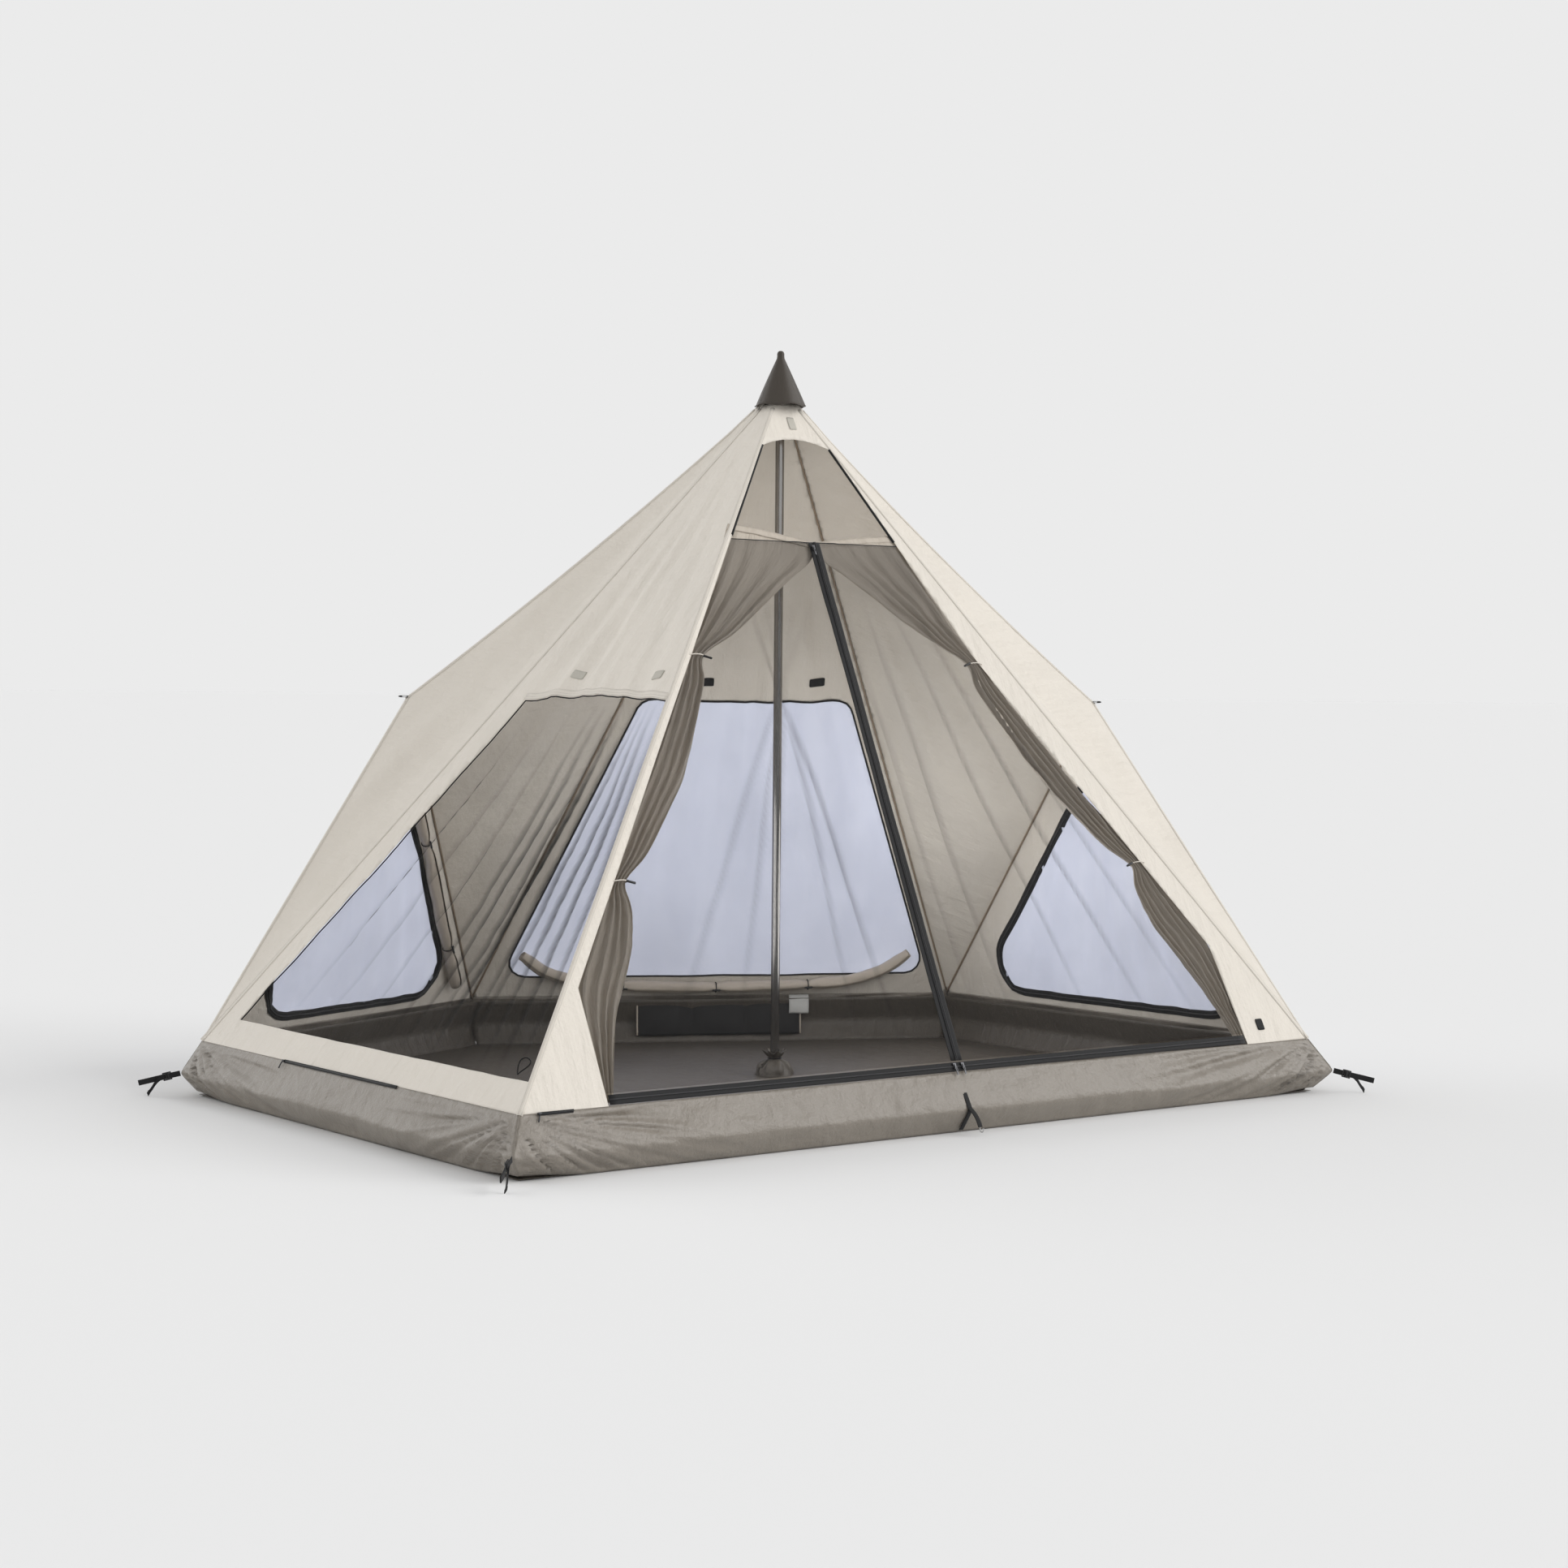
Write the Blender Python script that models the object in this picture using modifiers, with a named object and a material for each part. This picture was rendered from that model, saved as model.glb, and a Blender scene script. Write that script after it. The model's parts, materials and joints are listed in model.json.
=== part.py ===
"""Teepee tent: one centre pole, a five-cornered canopy and a bathtub skirt.

Frame: metres, +Z up, the floor at z = 0, the pole's foot at the origin. The door side runs
along X and faces -Y. Corners are named as seen by someone who stands in front of the door.
"""
import math

import bmesh
import bpy
from mathutils import Matrix, Vector

# ---- plan of the widest ring of the skirt, corner by corner -------------------------------
FRONT_Y = -1.43                     # door side, in front of the pole
FRONT_LEFT_X = -1.93
FRONT_RIGHT_X = 1.58
BACK_RIGHT = (1.31, 0.56)
BACK_LEFT = (-0.61, 1.43)
LEFT = (-2.13, 0.73)

# ---- heights ------------------------------------------------------------------------------
RIDGE_MEET_Z = 2.665                # where the ridge lines would meet
CANOPY_TOP_Z = 2.600                # the canopy cloth stops here, under the cone
CONE_HEM_Z = 2.588
TIP_Z = 2.80
SKIRT_TOP_Z = 0.20
KNUCKLE_Z = 0.08                    # widest line of the skirt
WINDOW_TOP_Z = 1.46                 # level of the window heads and of the side pull-outs
VENT_TOP_Z = 2.42                   # ends of the hood's arched hem
DOOR_HEAD_Z = 2.05                  # seam between the vent and the door

# ---- side pull-outs: plan place of the two points that lift the low walls ------------------
PULL_LEFT = (-1.18, 0.81)
PULL_RIGHT = (1.19, -0.48)

# ---- skirt and cloth ----------------------------------------------------------------------
SKIRT_TOP_INSET = 0.065
SKIRT_FOOT_INSET = 0.050
CLOTH = 0.003                       # canopy cloth, as a solid
MESH = 0.002
GAP = 0.0003                        # between pieces that touch
SEAM = 0.0006                       # between two panels of one canopy
CORNER_TRIM = 0.008                 # cut off each panel's corners, where three pieces meet

# ---- openings -----------------------------------------------------------------------------
HOOD_ARCH = 0.035
DOOR_LEFT_MARGIN = 0.014
DOOR_RIGHT_MARGIN = 0.120
DOOR_WAIST_RISE = 1.60              # where the door's right edge bows furthest from the ridge
DOOR_WAIST_MARGIN = 0.130
DOOR_FOOT_INSET = 0.315             # the door's lower corners, from the tent's corners
DOOR_FOOT_RISE = 0.40               # height up the slope where the door edge meets the ridge
WINDOW_LEFT_MARGIN = 0.120
WINDOW_RIDGE_MARGIN = 0.012
WINDOW_SILL = 0.113
WINDOW_ARCH = 0.035
BACK_WINDOW_MARGIN = 0.075
BACK_WINDOW_SILL = 0.10
D_WINDOW_MARGIN = 0.135
D_WINDOW_SILL = 0.045
D_WINDOW_RADIUS = 0.13
FIT = 0.003                         # between a window's cloth and its opening

# ---- zips ---------------------------------------------------------------------------------
ZIP_TAPE = 0.023                    # one tape of the centre zip
ZIP_THICK = 0.002
BOTTOM_ZIP = 0.036
CENTRE_TOP_SHIFT = 0.105            # the centre zip's ends, right of the door side's middle
CENTRE_FOOT_SHIFT = 0.015
SLIDER = (0.014, 0.022, 0.008)
PULL_TAB = (0.007, 0.032, 0.002)

# ---- pole ---------------------------------------------------------------------------------
POLE_RADIUS = 0.017
POLE_WALL = 0.0015
POLE_SECTIONS = 4
POLE_TOP_Z = 2.70
SPIGOT = 0.050
BOOT_RADIUS = 0.085
BOOT_HEIGHT = 0.100

# ---- cone ---------------------------------------------------------------------------------
CONE_RADIUS = 0.098
CONE_NECK = 0.013
CONE_WALL = 0.0025
TIP_RADIUS = 0.016

# ---- webbing and buckles ------------------------------------------------------------------
WEBBING = 0.022
WEBBING_THICK = 0.002
STRAP_LENGTH = 0.150
STRAP_DROP = 0.035
BUCKLE = (0.034, 0.026, 0.009)
BUCKLE_PLACE = 0.045                # from the knuckle, along the strap
SWING = 0.002                       # between a strap's end and the skirt, room to swing
GUY_TAB = 0.035
MIDDLE_STRAP = 0.075
HOOK_WIRE = 0.0016
HOOK_RADIUS = 0.010

# ---- gathered cloth -----------------------------------------------------------------------
CURTAIN_THICK = 0.010
CURTAIN_HEM = 0.045
CURTAIN_OVERLAP = 0.012             # of the curtain behind the panel that carries it
ROLL_RADIUS = 0.028
ROLL_FOOT = 0.10                    # ends of the rolled flaps of the low windows, up the slope
ROLL_HEAD = 0.84
ROLL_SAG = ((0.24, 0.20), (0.48, 0.09))   # of the back roll: (from its window's corner, v)
ROLL_LOW = 0.055
POCKET_DROP = 0.015                 # of the pocket's top below the skirt's top
POCKET = (0.72, 0.155, 0.010)

CANVAS = (0.72, 0.68, 0.62)
TAUPE = (0.25, 0.23, 0.20)
BROWN = (0.08, 0.07, 0.06)
BLACK = (0.012, 0.012, 0.013)
FILM = (0.62, 0.65, 0.74)
STEEL = (0.60, 0.60, 0.60)


# ---- scene and materials ------------------------------------------------------------------
def clear_scene():
    for obj in list(bpy.data.objects):
        bpy.data.objects.remove(obj, do_unlink=True)


def collection():
    found = bpy.data.collections.get("teepee_tent")
    if found is None:
        found = bpy.data.collections.new("teepee_tent")
        bpy.context.scene.collection.children.link(found)
    return found


def finish(obj, color, roughness=0.8, metallic=0.0):
    material = bpy.data.materials.new(obj.name)
    material.use_nodes = True
    shader = material.node_tree.nodes["Principled BSDF"]
    shader.inputs["Base Color"].default_value = (*color, 1.0)
    shader.inputs["Roughness"].default_value = roughness
    shader.inputs["Metallic"].default_value = metallic
    obj.data.materials.append(material)
    collection().objects.link(obj)
    return obj


# ---- plan geometry ------------------------------------------------------------------------
RING = (
    (FRONT_LEFT_X, FRONT_Y),
    (FRONT_RIGHT_X, FRONT_Y),
    BACK_RIGHT,
    BACK_LEFT,
    LEFT,
)
FL, R, B2, B1, L = range(5)
SIDES = ("front", "right", "back", "left", "front_left")
CORNERS = ("front_left", "right", "back_right", "back_left", "left")


def ring_at(inset):
    """Corners of the plan, moved in by the same distance from every side."""
    count = len(RING)
    lines = []
    for i in range(count):
        start, end = Vector(RING[i]), Vector(RING[(i + 1) % count])
        along = (end - start).normalized()
        lines.append((start + Vector((-along.y, along.x)) * inset, along))
    corners = []
    for i in range(count):
        p, s = lines[i - 1]
        q, t = lines[i]
        k = (q - p).cross(t) / s.cross(t)
        corners.append(p + s * k)
    return corners


def ring_point(corner, inset, z):
    point = ring_at(inset)[corner]
    return Vector((point.x, point.y, z))


# ---- flat faces of the canopy -------------------------------------------------------------
class Face:
    """A flat triangle with corners a, b and c, anticlockwise from outside. In its own frame
    u runs from a to b, v up the slope, and depth into the tent."""

    def __init__(self, a, b, c):
        self.corners = (a, b, c)
        u = (b - a).normalized()
        self.normal = u.cross(c - a).normalized()
        v = self.normal.cross(u)
        self.u, self.v = u, v
        self.length = (b - a).length
        self.apex = Vector(((c - a).dot(u), (c - a).dot(v)))
        self.matrix = Matrix((
            (u.x, v.x, self.normal.x, a.x),
            (u.y, v.y, self.normal.y, a.y),
            (u.z, v.z, self.normal.z, a.z),
            (0.0, 0.0, 0.0, 1.0),
        ))

    def world(self, u, v, depth=0.0):
        return self.matrix @ Vector((u, v, -depth))

    def rise(self, z):
        """v at a world height, on a face whose lower edge is level."""
        return (z - self.corners[0].z) / self.v.z

    def left(self, v):
        return self.apex.x * v / self.apex.y

    def right(self, v):
        return self.length - (self.length - self.apex.x) * v / self.apex.y

    def outline(self):
        return [Vector((0.0, 0.0)), Vector((self.length, 0.0)), self.apex.copy()]


def clip(points, origin, inward):
    """The part of a convex outline on the inward side of a line."""
    kept = []
    for i, point in enumerate(points):
        ahead = points[(i + 1) % len(points)]
        here, there = (point - origin).dot(inward), (ahead - origin).dot(inward)
        if here >= 0.0:
            kept.append(point)
        if here * there < 0.0:
            kept.append(point.lerp(ahead, here / (here - there)))
    return kept


def inset_sides(points, insets):
    """A convex anticlockwise outline with each side moved in by its own distance."""
    kept = list(points)
    for i, inset in enumerate(insets):
        start, end = points[i], points[(i + 1) % len(points)]
        along = (end - start).normalized()
        inward = Vector((-along.y, along.x))
        kept = clip(kept, start + inward * inset, inward)
    return kept


def trim_corners(points, distance):
    """A convex outline with each of its corners cut off square to its bisector."""
    kept = list(points)
    for i, point in enumerate(points):
        before = (points[i - 1] - point).normalized()
        after = (points[(i + 1) % len(points)] - point).normalized()
        inward = (before + after).normalized()
        kept = clip(kept, point + inward * distance, inward)
    return kept


def cut_above(face, points, z):
    """The part of an outline below a world height."""
    down = Vector((-face.u.z, -face.v.z))
    steep = down.length_squared
    origin = down * ((face.corners[0].z - z) / steep)
    return clip(points, origin, down)


def mitre(face, other, thick):
    """How far a panel's edge stays back, so that its inner side clears its neighbour."""
    return thick * math.tan(face.normal.angle(other.normal) / 2.0) + SEAM / 2.0


def arc(centre, radius, start, end, steps):
    points = []
    for i in range(steps + 1):
        angle = start + (end - start) * i / steps
        points.append(centre + Vector((math.cos(angle), math.sin(angle))) * radius)
    return points


def rounded(points, radius, steps=5):
    """A convex anticlockwise outline with its corners rounded."""
    smooth = []
    for i, point in enumerate(points):
        before = (points[i - 1] - point).normalized()
        after = (points[(i + 1) % len(points)] - point).normalized()
        half = before.angle(after) / 2.0
        centre = point + (before + after).normalized() * (radius / math.sin(half))
        start = math.atan2(-before.x, before.y)
        turn = math.pi - 2.0 * half
        smooth += arc(centre, radius, start - math.pi, start - math.pi + turn, steps)
    return smooth


def bulge(start, end, rise, steps=6):
    """Points from start to end along a shallow arch, without the two ends."""
    across = (end - start)
    side = Vector((-across.y, across.x)).normalized()
    points = []
    for i in range(1, steps):
        t = i / steps
        points.append(start + across * t + side * (rise * 4.0 * t * (1.0 - t)))
    return points


# ---- solids -------------------------------------------------------------------------------
def slab(name, matrix, outlines, depth, thick, color, **look):
    """A flat piece: closed outlines, holes included, from depth inwards by thick."""
    curve = bpy.data.curves.new(name, "CURVE")
    curve.dimensions = "2D"
    curve.fill_mode = "BOTH"
    curve.extrude = thick / 2.0
    for points in outlines:
        spline = curve.splines.new("POLY")
        spline.points.add(len(points) - 1)
        for slot, point in zip(spline.points, points):
            slot.co = (point[0], point[1], 0.0, 1.0)
        spline.use_cyclic_u = True
    obj = bpy.data.objects.new(name, curve)
    obj.matrix_world = matrix @ Matrix.Translation((0.0, 0.0, -depth - thick / 2.0))
    return finish(obj, color, **look)


def tube(name, points, radius, color, resolution=2, **look):
    """A round bar along a list of points."""
    curve = bpy.data.curves.new(name, "CURVE")
    curve.dimensions = "3D"
    curve.bevel_depth = radius
    curve.bevel_resolution = resolution
    curve.use_fill_caps = True
    spline = curve.splines.new("POLY")
    spline.points.add(len(points) - 1)
    origin = Vector(points[0])
    for slot, point in zip(spline.points, points):
        slot.co = (*(Vector(point) - origin), 1.0)
    obj = bpy.data.objects.new(name, curve)
    obj.location = origin
    return finish(obj, color, **look)


def turned(name, profile, color, closed=False, steps=24, **look):
    """A turned piece about the pole's axis; the profile runs down its outer side."""
    mesh = bpy.data.meshes.new(name)
    low = min(z for _, z in profile)
    edges = [(i, i + 1) for i in range(len(profile) - 1)]
    if closed:
        edges.append((len(profile) - 1, 0))
    mesh.from_pydata([(x, 0.0, z - low) for x, z in profile], edges, [])
    obj = bpy.data.objects.new(name, mesh)
    obj.location = (0.0, 0.0, low)
    screw = obj.modifiers.new("turn", "SCREW")
    screw.steps = screw.render_steps = steps
    screw.use_merge_vertices = True
    screw.merge_threshold = 0.00001
    screw.use_smooth_shade = True
    return finish(obj, color, **look)


def block(name, matrix, size, color, **look):
    """A box of a given size, centred on a frame."""
    mesh = bpy.data.meshes.new(name)
    form = bmesh.new()
    bmesh.ops.create_cube(form, size=1.0)
    bmesh.ops.scale(form, vec=size, verts=form.verts)
    form.to_mesh(mesh)
    form.free()
    obj = bpy.data.objects.new(name, mesh)
    obj.matrix_world = matrix
    return finish(obj, color, **look)


def side_loft(name, side, section, color, **look):
    """A piece along one side of the plan: a closed section of (inset, z), mitred at both ends."""
    count = len(section)
    start, end = Vector(RING[side]), Vector(RING[(side + 1) % len(RING)])
    along = (end - start).normalized() * (SEAM / 2.0)
    form = bmesh.new()
    ends = []
    for corner, shift in ((side, along), ((side + 1) % len(RING), -along)):
        row = []
        for inset, z in section:
            point = ring_at(inset)[corner] + shift
            row.append(form.verts.new((point.x, point.y, z)))
        ends.append(row)
    form.faces.new(ends[0])
    form.faces.new(list(reversed(ends[1])))
    for i in range(count):
        j = (i + 1) % count
        form.faces.new((ends[0][j], ends[0][i], ends[1][i], ends[1][j]))
    bmesh.ops.recalc_face_normals(form, faces=form.faces)
    mesh = bpy.data.meshes.new(name)
    form.to_mesh(mesh)
    form.free()
    return finish(bpy.data.objects.new(name, mesh), color, **look)


# ---- the faces ----------------------------------------------------------------------------
def canopy_faces():
    top = Vector((0.0, 0.0, RIDGE_MEET_Z))
    foot = [ring_point(corner, SKIRT_TOP_INSET, SKIRT_TOP_Z) for corner in range(5)]
    pull_left = Vector((*PULL_LEFT, WINDOW_TOP_Z))
    pull_right = Vector((*PULL_RIGHT, WINDOW_TOP_Z))
    return {
        "front": Face(foot[FL], foot[R], top),
        "front_left": Face(foot[L], foot[FL], top),
        "shoulder_left_front": Face(pull_left, foot[L], top),
        "shoulder_left_back": Face(foot[B1], pull_left, top),
        "wall_left": Face(foot[B1], foot[L], pull_left),
        "back": Face(foot[B2], foot[B1], top),
        "shoulder_right_back": Face(pull_right, foot[B2], top),
        "shoulder_right_front": Face(foot[R], pull_right, top),
        "wall_right": Face(foot[R], foot[B2], pull_right),
    }


# Neighbours of each face across its sides a-b, b-c and c-a. None is the skirt's seam.
NEIGHBOURS = {
    "front": (None, "shoulder_right_front", "front_left"),
    "front_left": (None, "front", "shoulder_left_front"),
    "shoulder_left_front": ("wall_left", "front_left", "shoulder_left_back"),
    "shoulder_left_back": ("wall_left", "shoulder_left_front", "back"),
    "wall_left": (None, "shoulder_left_front", "shoulder_left_back"),
    "back": (None, "shoulder_left_back", "shoulder_right_back"),
    "shoulder_right_back": ("wall_right", "back", "shoulder_right_front"),
    "shoulder_right_front": ("wall_right", "shoulder_right_back", "front"),
    "wall_right": (None, "shoulder_right_back", "shoulder_right_front"),
}


def above_skirt(face):
    """How far a panel's lower edge stays back, so that its inner side clears the skirt."""
    skirt_lean = math.atan2(SKIRT_TOP_INSET, SKIRT_TOP_Z - KNUCKLE_Z)
    lean = math.asin(face.normal.z) - skirt_lean
    return (SEAM + CLOTH * max(0.0, math.sin(lean))) / math.cos(lean)


def panel_outline(faces, key, thick=CLOTH):
    """A face's own cloth: its triangle, kept back from its neighbours, cut under the cone."""
    face = faces[key]
    insets = []
    for other in NEIGHBOURS[key]:
        insets.append(above_skirt(face) if other is None else mitre(face, faces[other], thick))
    kept = trim_corners(inset_sides(face.outline(), insets), CORNER_TRIM)
    return cut_above(face, kept, CANOPY_TOP_Z)


def door_edges(face):
    """Door and vent opening of the front face, up its left side and down its right side."""
    hood = face.rise(VENT_TOP_Z)
    left = [
        Vector((DOOR_FOOT_INSET, 0.0)),
        Vector((DOOR_FOOT_INSET, DOOR_FOOT_RISE)),
        Vector((face.left(hood) + DOOR_LEFT_MARGIN, hood)),
    ]
    waist = face.right(DOOR_WAIST_RISE) - DOOR_WAIST_MARGIN
    knee = face.right(DOOR_FOOT_RISE) - DOOR_RIGHT_MARGIN
    foot = face.length - DOOR_FOOT_INSET
    right = [
        Vector((face.right(hood) - DOOR_LEFT_MARGIN, hood)),
        Vector((waist, DOOR_WAIST_RISE)),
        Vector((knee, DOOR_FOOT_RISE)),
        Vector((foot, 0.0)),
    ]
    return left, right


def at_rise(edge, v):
    """u on a door edge at a given v."""
    points = sorted(edge, key=lambda point: point.y)
    for low, high in zip(points, points[1:]):
        if low.y <= v <= high.y and high.y > low.y:
            return low.lerp(high, (v - low.y) / (high.y - low.y)).x
    return points[-1].x


def front_outline(faces):
    """The front panel: a cream frame around the door, with the hood above the vent."""
    face = faces["front"]
    rim = panel_outline(faces, "front")
    floor = min(point.y for point in rim)
    low = [i for i, point in enumerate(rim) if point.y < floor + GAP]
    first = max(low, key=lambda i: rim[i].x)
    rim = rim[first:] + rim[:first]
    left, right = door_edges(face)
    for edge in (left, right):
        for point in edge:
            point.y = max(point.y, floor)
    hood = bulge(left[-1], right[0], HOOD_ARCH)
    return rim + left + hood + right


def window_front_left(face):
    """The opening under the left awning."""
    head = face.rise(WINDOW_TOP_Z)
    sill = WINDOW_SILL
    corners = [
        Vector((face.left(sill) + WINDOW_LEFT_MARGIN, sill)),
        Vector((face.right(sill) - WINDOW_RIDGE_MARGIN, sill)),
        Vector((face.right(head) - WINDOW_RIDGE_MARGIN, head)),
        Vector((face.left(head) + WINDOW_LEFT_MARGIN, head)),
    ]
    arch = bulge(corners[3], corners[2], WINDOW_ARCH)
    return corners[:3] + list(reversed(arch)) + corners[3:]


def window_back(face):
    head = face.rise(WINDOW_TOP_Z)
    sill = BACK_WINDOW_SILL
    corners = [
        Vector((face.left(sill) + BACK_WINDOW_MARGIN, sill)),
        Vector((face.right(sill) - BACK_WINDOW_MARGIN, sill)),
        Vector((face.right(head) - BACK_WINDOW_MARGIN, head)),
        Vector((face.left(head) + BACK_WINDOW_MARGIN, head)),
    ]
    return rounded(corners, D_WINDOW_RADIUS / 2.0, 4)


def window_low_wall(face, inset=0.0):
    sides = (D_WINDOW_SILL + inset, D_WINDOW_MARGIN + inset, D_WINDOW_MARGIN + inset)
    return rounded(inset_sides(face.outline(), sides), D_WINDOW_RADIUS - inset)


def shrink(points, distance):
    """A convex outline drawn in from every side."""
    return inset_sides(points, [distance] * len(points))


# ---- pieces -------------------------------------------------------------------------------
def make_canopy(faces):
    slab("panel_front", faces["front"].matrix, [front_outline(faces)], 0.0, CLOTH, CANVAS)
    opened = {
        "front_left": window_front_left(faces["front_left"]),
        "back": window_back(faces["back"]),
        "wall_left": window_low_wall(faces["wall_left"]),
        "wall_right": window_low_wall(faces["wall_right"]),
    }
    for key, face in faces.items():
        if key == "front":
            continue
        name = key if key.startswith(("shoulder", "wall")) else "panel_" + key
        outlines = [panel_outline(faces, key)]
        if key in opened:
            outlines.append(opened[key])
        slab(name, face.matrix, outlines, 0.0, CLOTH, CANVAS)
    for key, hole in opened.items():
        face = faces[key]
        color = BLACK if key == "front_left" else FILM
        depth = (CLOTH - MESH) / 2.0
        slab("window_" + key.replace("wall_", ""), face.matrix, [shrink(hole, GAP)], depth,
             MESH, color)


def make_window_zips(faces):
    """Zip tapes around the two low windows, on the inner side of the walls."""
    for key in ("wall_left", "wall_right"):
        face = faces[key]
        outer = window_low_wall(face, -ZIP_TAPE / 2.0)
        inner = window_low_wall(face, ZIP_TAPE / 2.0)
        slab("zip_" + key, face.matrix, [outer, inner], CLOTH + GAP, ZIP_THICK, BLACK)


def skirt_section():
    """Closed section of the skirt: outer cloth, then the inner side of the same cloth."""
    outer = [
        Vector((SKIRT_TOP_INSET, SKIRT_TOP_Z)),
        Vector((0.0, KNUCKLE_Z)),
        Vector((SKIRT_FOOT_INSET, 0.0)),
    ]
    upper = (outer[1] - outer[0]).normalized()
    lower = (outer[2] - outer[1]).normalized()
    inward_upper = Vector((-upper.y, upper.x)) * CLOTH
    inward_lower = Vector((-lower.y, lower.x)) * CLOTH
    middle = (inward_upper.normalized() + inward_lower.normalized()).normalized()
    reach = CLOTH / middle.dot(inward_upper.normalized())
    foot = outer[2] + Vector((CLOTH / abs(lower.y), 0.0))
    return outer + [foot, outer[1] + middle * reach, outer[0] + inward_upper]


def make_skirt():
    section = [tuple(point) for point in skirt_section()]
    for side, name in enumerate(SIDES):
        side_loft("skirt_" + name, side, section, TAUPE, roughness=0.6)
    inner = SKIRT_FOOT_INSET + CLOTH * 2.0 + GAP
    floor = [tuple(point) for point in ring_at(inner)]
    slab("groundsheet", Matrix.Identity(4), [floor], -CLOTH, CLOTH, BROWN)


def centre_line(face):
    """Foot and head of the centre zip, in the front face's frame."""
    middle = face.length / 2.0
    foot = Vector((middle + CENTRE_FOOT_SHIFT, BOTTOM_ZIP + 2.0 * FIT))
    head = Vector((middle + CENTRE_TOP_SHIFT, face.rise(DOOR_HEAD_Z) - FIT))
    return foot, head


def leaf_outline(face, side):
    """A door leaf of see-through mesh, left (-1) or right (+1) of the centre zip."""
    left, right = door_edges(face)
    foot, head = centre_line(face)
    edge = left if side < 0 else right
    bottom = foot.y
    outer = [
        Vector((at_rise(edge, bottom) - side * FIT, bottom)),
        Vector((at_rise(edge, DOOR_FOOT_RISE) - side * FIT, DOOR_FOOT_RISE)),
        Vector((at_rise(edge, DOOR_WAIST_RISE) - side * FIT, DOOR_WAIST_RISE)),
        Vector((at_rise(edge, head.y) - side * FIT, head.y)),
    ]
    half = side * FIT / 3.0
    inner = [Vector((head.x + half, head.y)), Vector((foot.x + half, foot.y))]
    points = outer + inner
    return points if side > 0 else list(reversed(points))


def tape_outline(face, side):
    """One tape of the centre zip, along the inner edge of a leaf."""
    foot, head = centre_line(face)
    near, far = side * FIT / 3.0, side * (FIT / 3.0 + ZIP_TAPE)
    return [
        Vector((foot.x + near, foot.y)),
        Vector((foot.x + far, foot.y)),
        Vector((head.x + far, head.y)),
        Vector((head.x + near, head.y)),
    ]


def make_door(faces):
    face = faces["front"]
    for side, name in ((-1, "left"), (1, "right")):
        slab("mesh_door_" + name, face.matrix, [leaf_outline(face, side)], 0.0, MESH, BLACK)
        slab("zip_centre_" + name, face.matrix, [tape_outline(face, side)],
             -ZIP_THICK - GAP, ZIP_THICK, BLACK)
    left, right = door_edges(face)
    low, high = SEAM + FIT, SEAM + BOTTOM_ZIP
    bottom = [
        Vector((at_rise(left, low) + FIT, low)),
        Vector((at_rise(right, low) - FIT, low)),
        Vector((at_rise(right, high) - FIT, high)),
        Vector((at_rise(left, high) + FIT, high)),
    ]
    slab("zip_bottom", face.matrix, [bottom], 0.0, MESH, BLACK)


def slider_frame(face, u, v, along):
    """Frame of a zip slider: x across the zip, y along it, z out of the tent."""
    direction = (face.u * along.x + face.v * along.y).normalized()
    across = direction.cross(face.normal)
    place = face.world(u, v)
    return Matrix((
        (across.x, direction.x, face.normal.x, place.x),
        (across.y, direction.y, face.normal.y, place.y),
        (across.z, direction.z, face.normal.z, place.z),
        (0.0, 0.0, 0.0, 1.0),
    ))


def make_slider(name, frame, lift):
    """A slider on its tape, and the pull tab that swings on it."""
    body = Matrix.Translation((0.0, 0.0, lift + GAP + SLIDER[2] / 2.0))
    block("slider_" + name, frame @ body, SLIDER, BLACK, metallic=0.6, roughness=0.4)
    outer = lift + GAP + SLIDER[2] + GAP + PULL_TAB[2] / 2.0
    hang = Matrix.Translation((0.0, -PULL_TAB[1] / 2.0, outer))
    block("pull_" + name, frame @ hang, PULL_TAB, BLACK, metallic=0.6, roughness=0.4)


def make_sliders(faces):
    face = faces["front"]
    foot, head = centre_line(face)
    along = (head - foot).normalized()
    place = head - along * (SLIDER[1] + PULL_TAB[1]) / 2.0
    left = place.x - SLIDER[0] / 2.0 - 2.0 * FIT
    lift = ZIP_THICK + GAP
    make_slider("top", slider_frame(face, left, place.y, along), lift)
    rise = SEAM + FIT + BOTTOM_ZIP / 2.0
    for side, name in ((-1, "bottom_left"), (1, "bottom_right")):
        u = foot.x + side * (SLIDER[0] + FIT)
        make_slider(name, slider_frame(face, u, rise, Vector((0.0, 1.0))), 0.0)


CURTAIN_WIDTHS = (
    (0.30, 0.12),
    (0.52, 0.17),
    (0.76, 0.08),
    (1.15, 0.15),
    (1.62, 0.09),
)                                   # (v, width of the gathered curtain) between hem and foot


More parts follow.
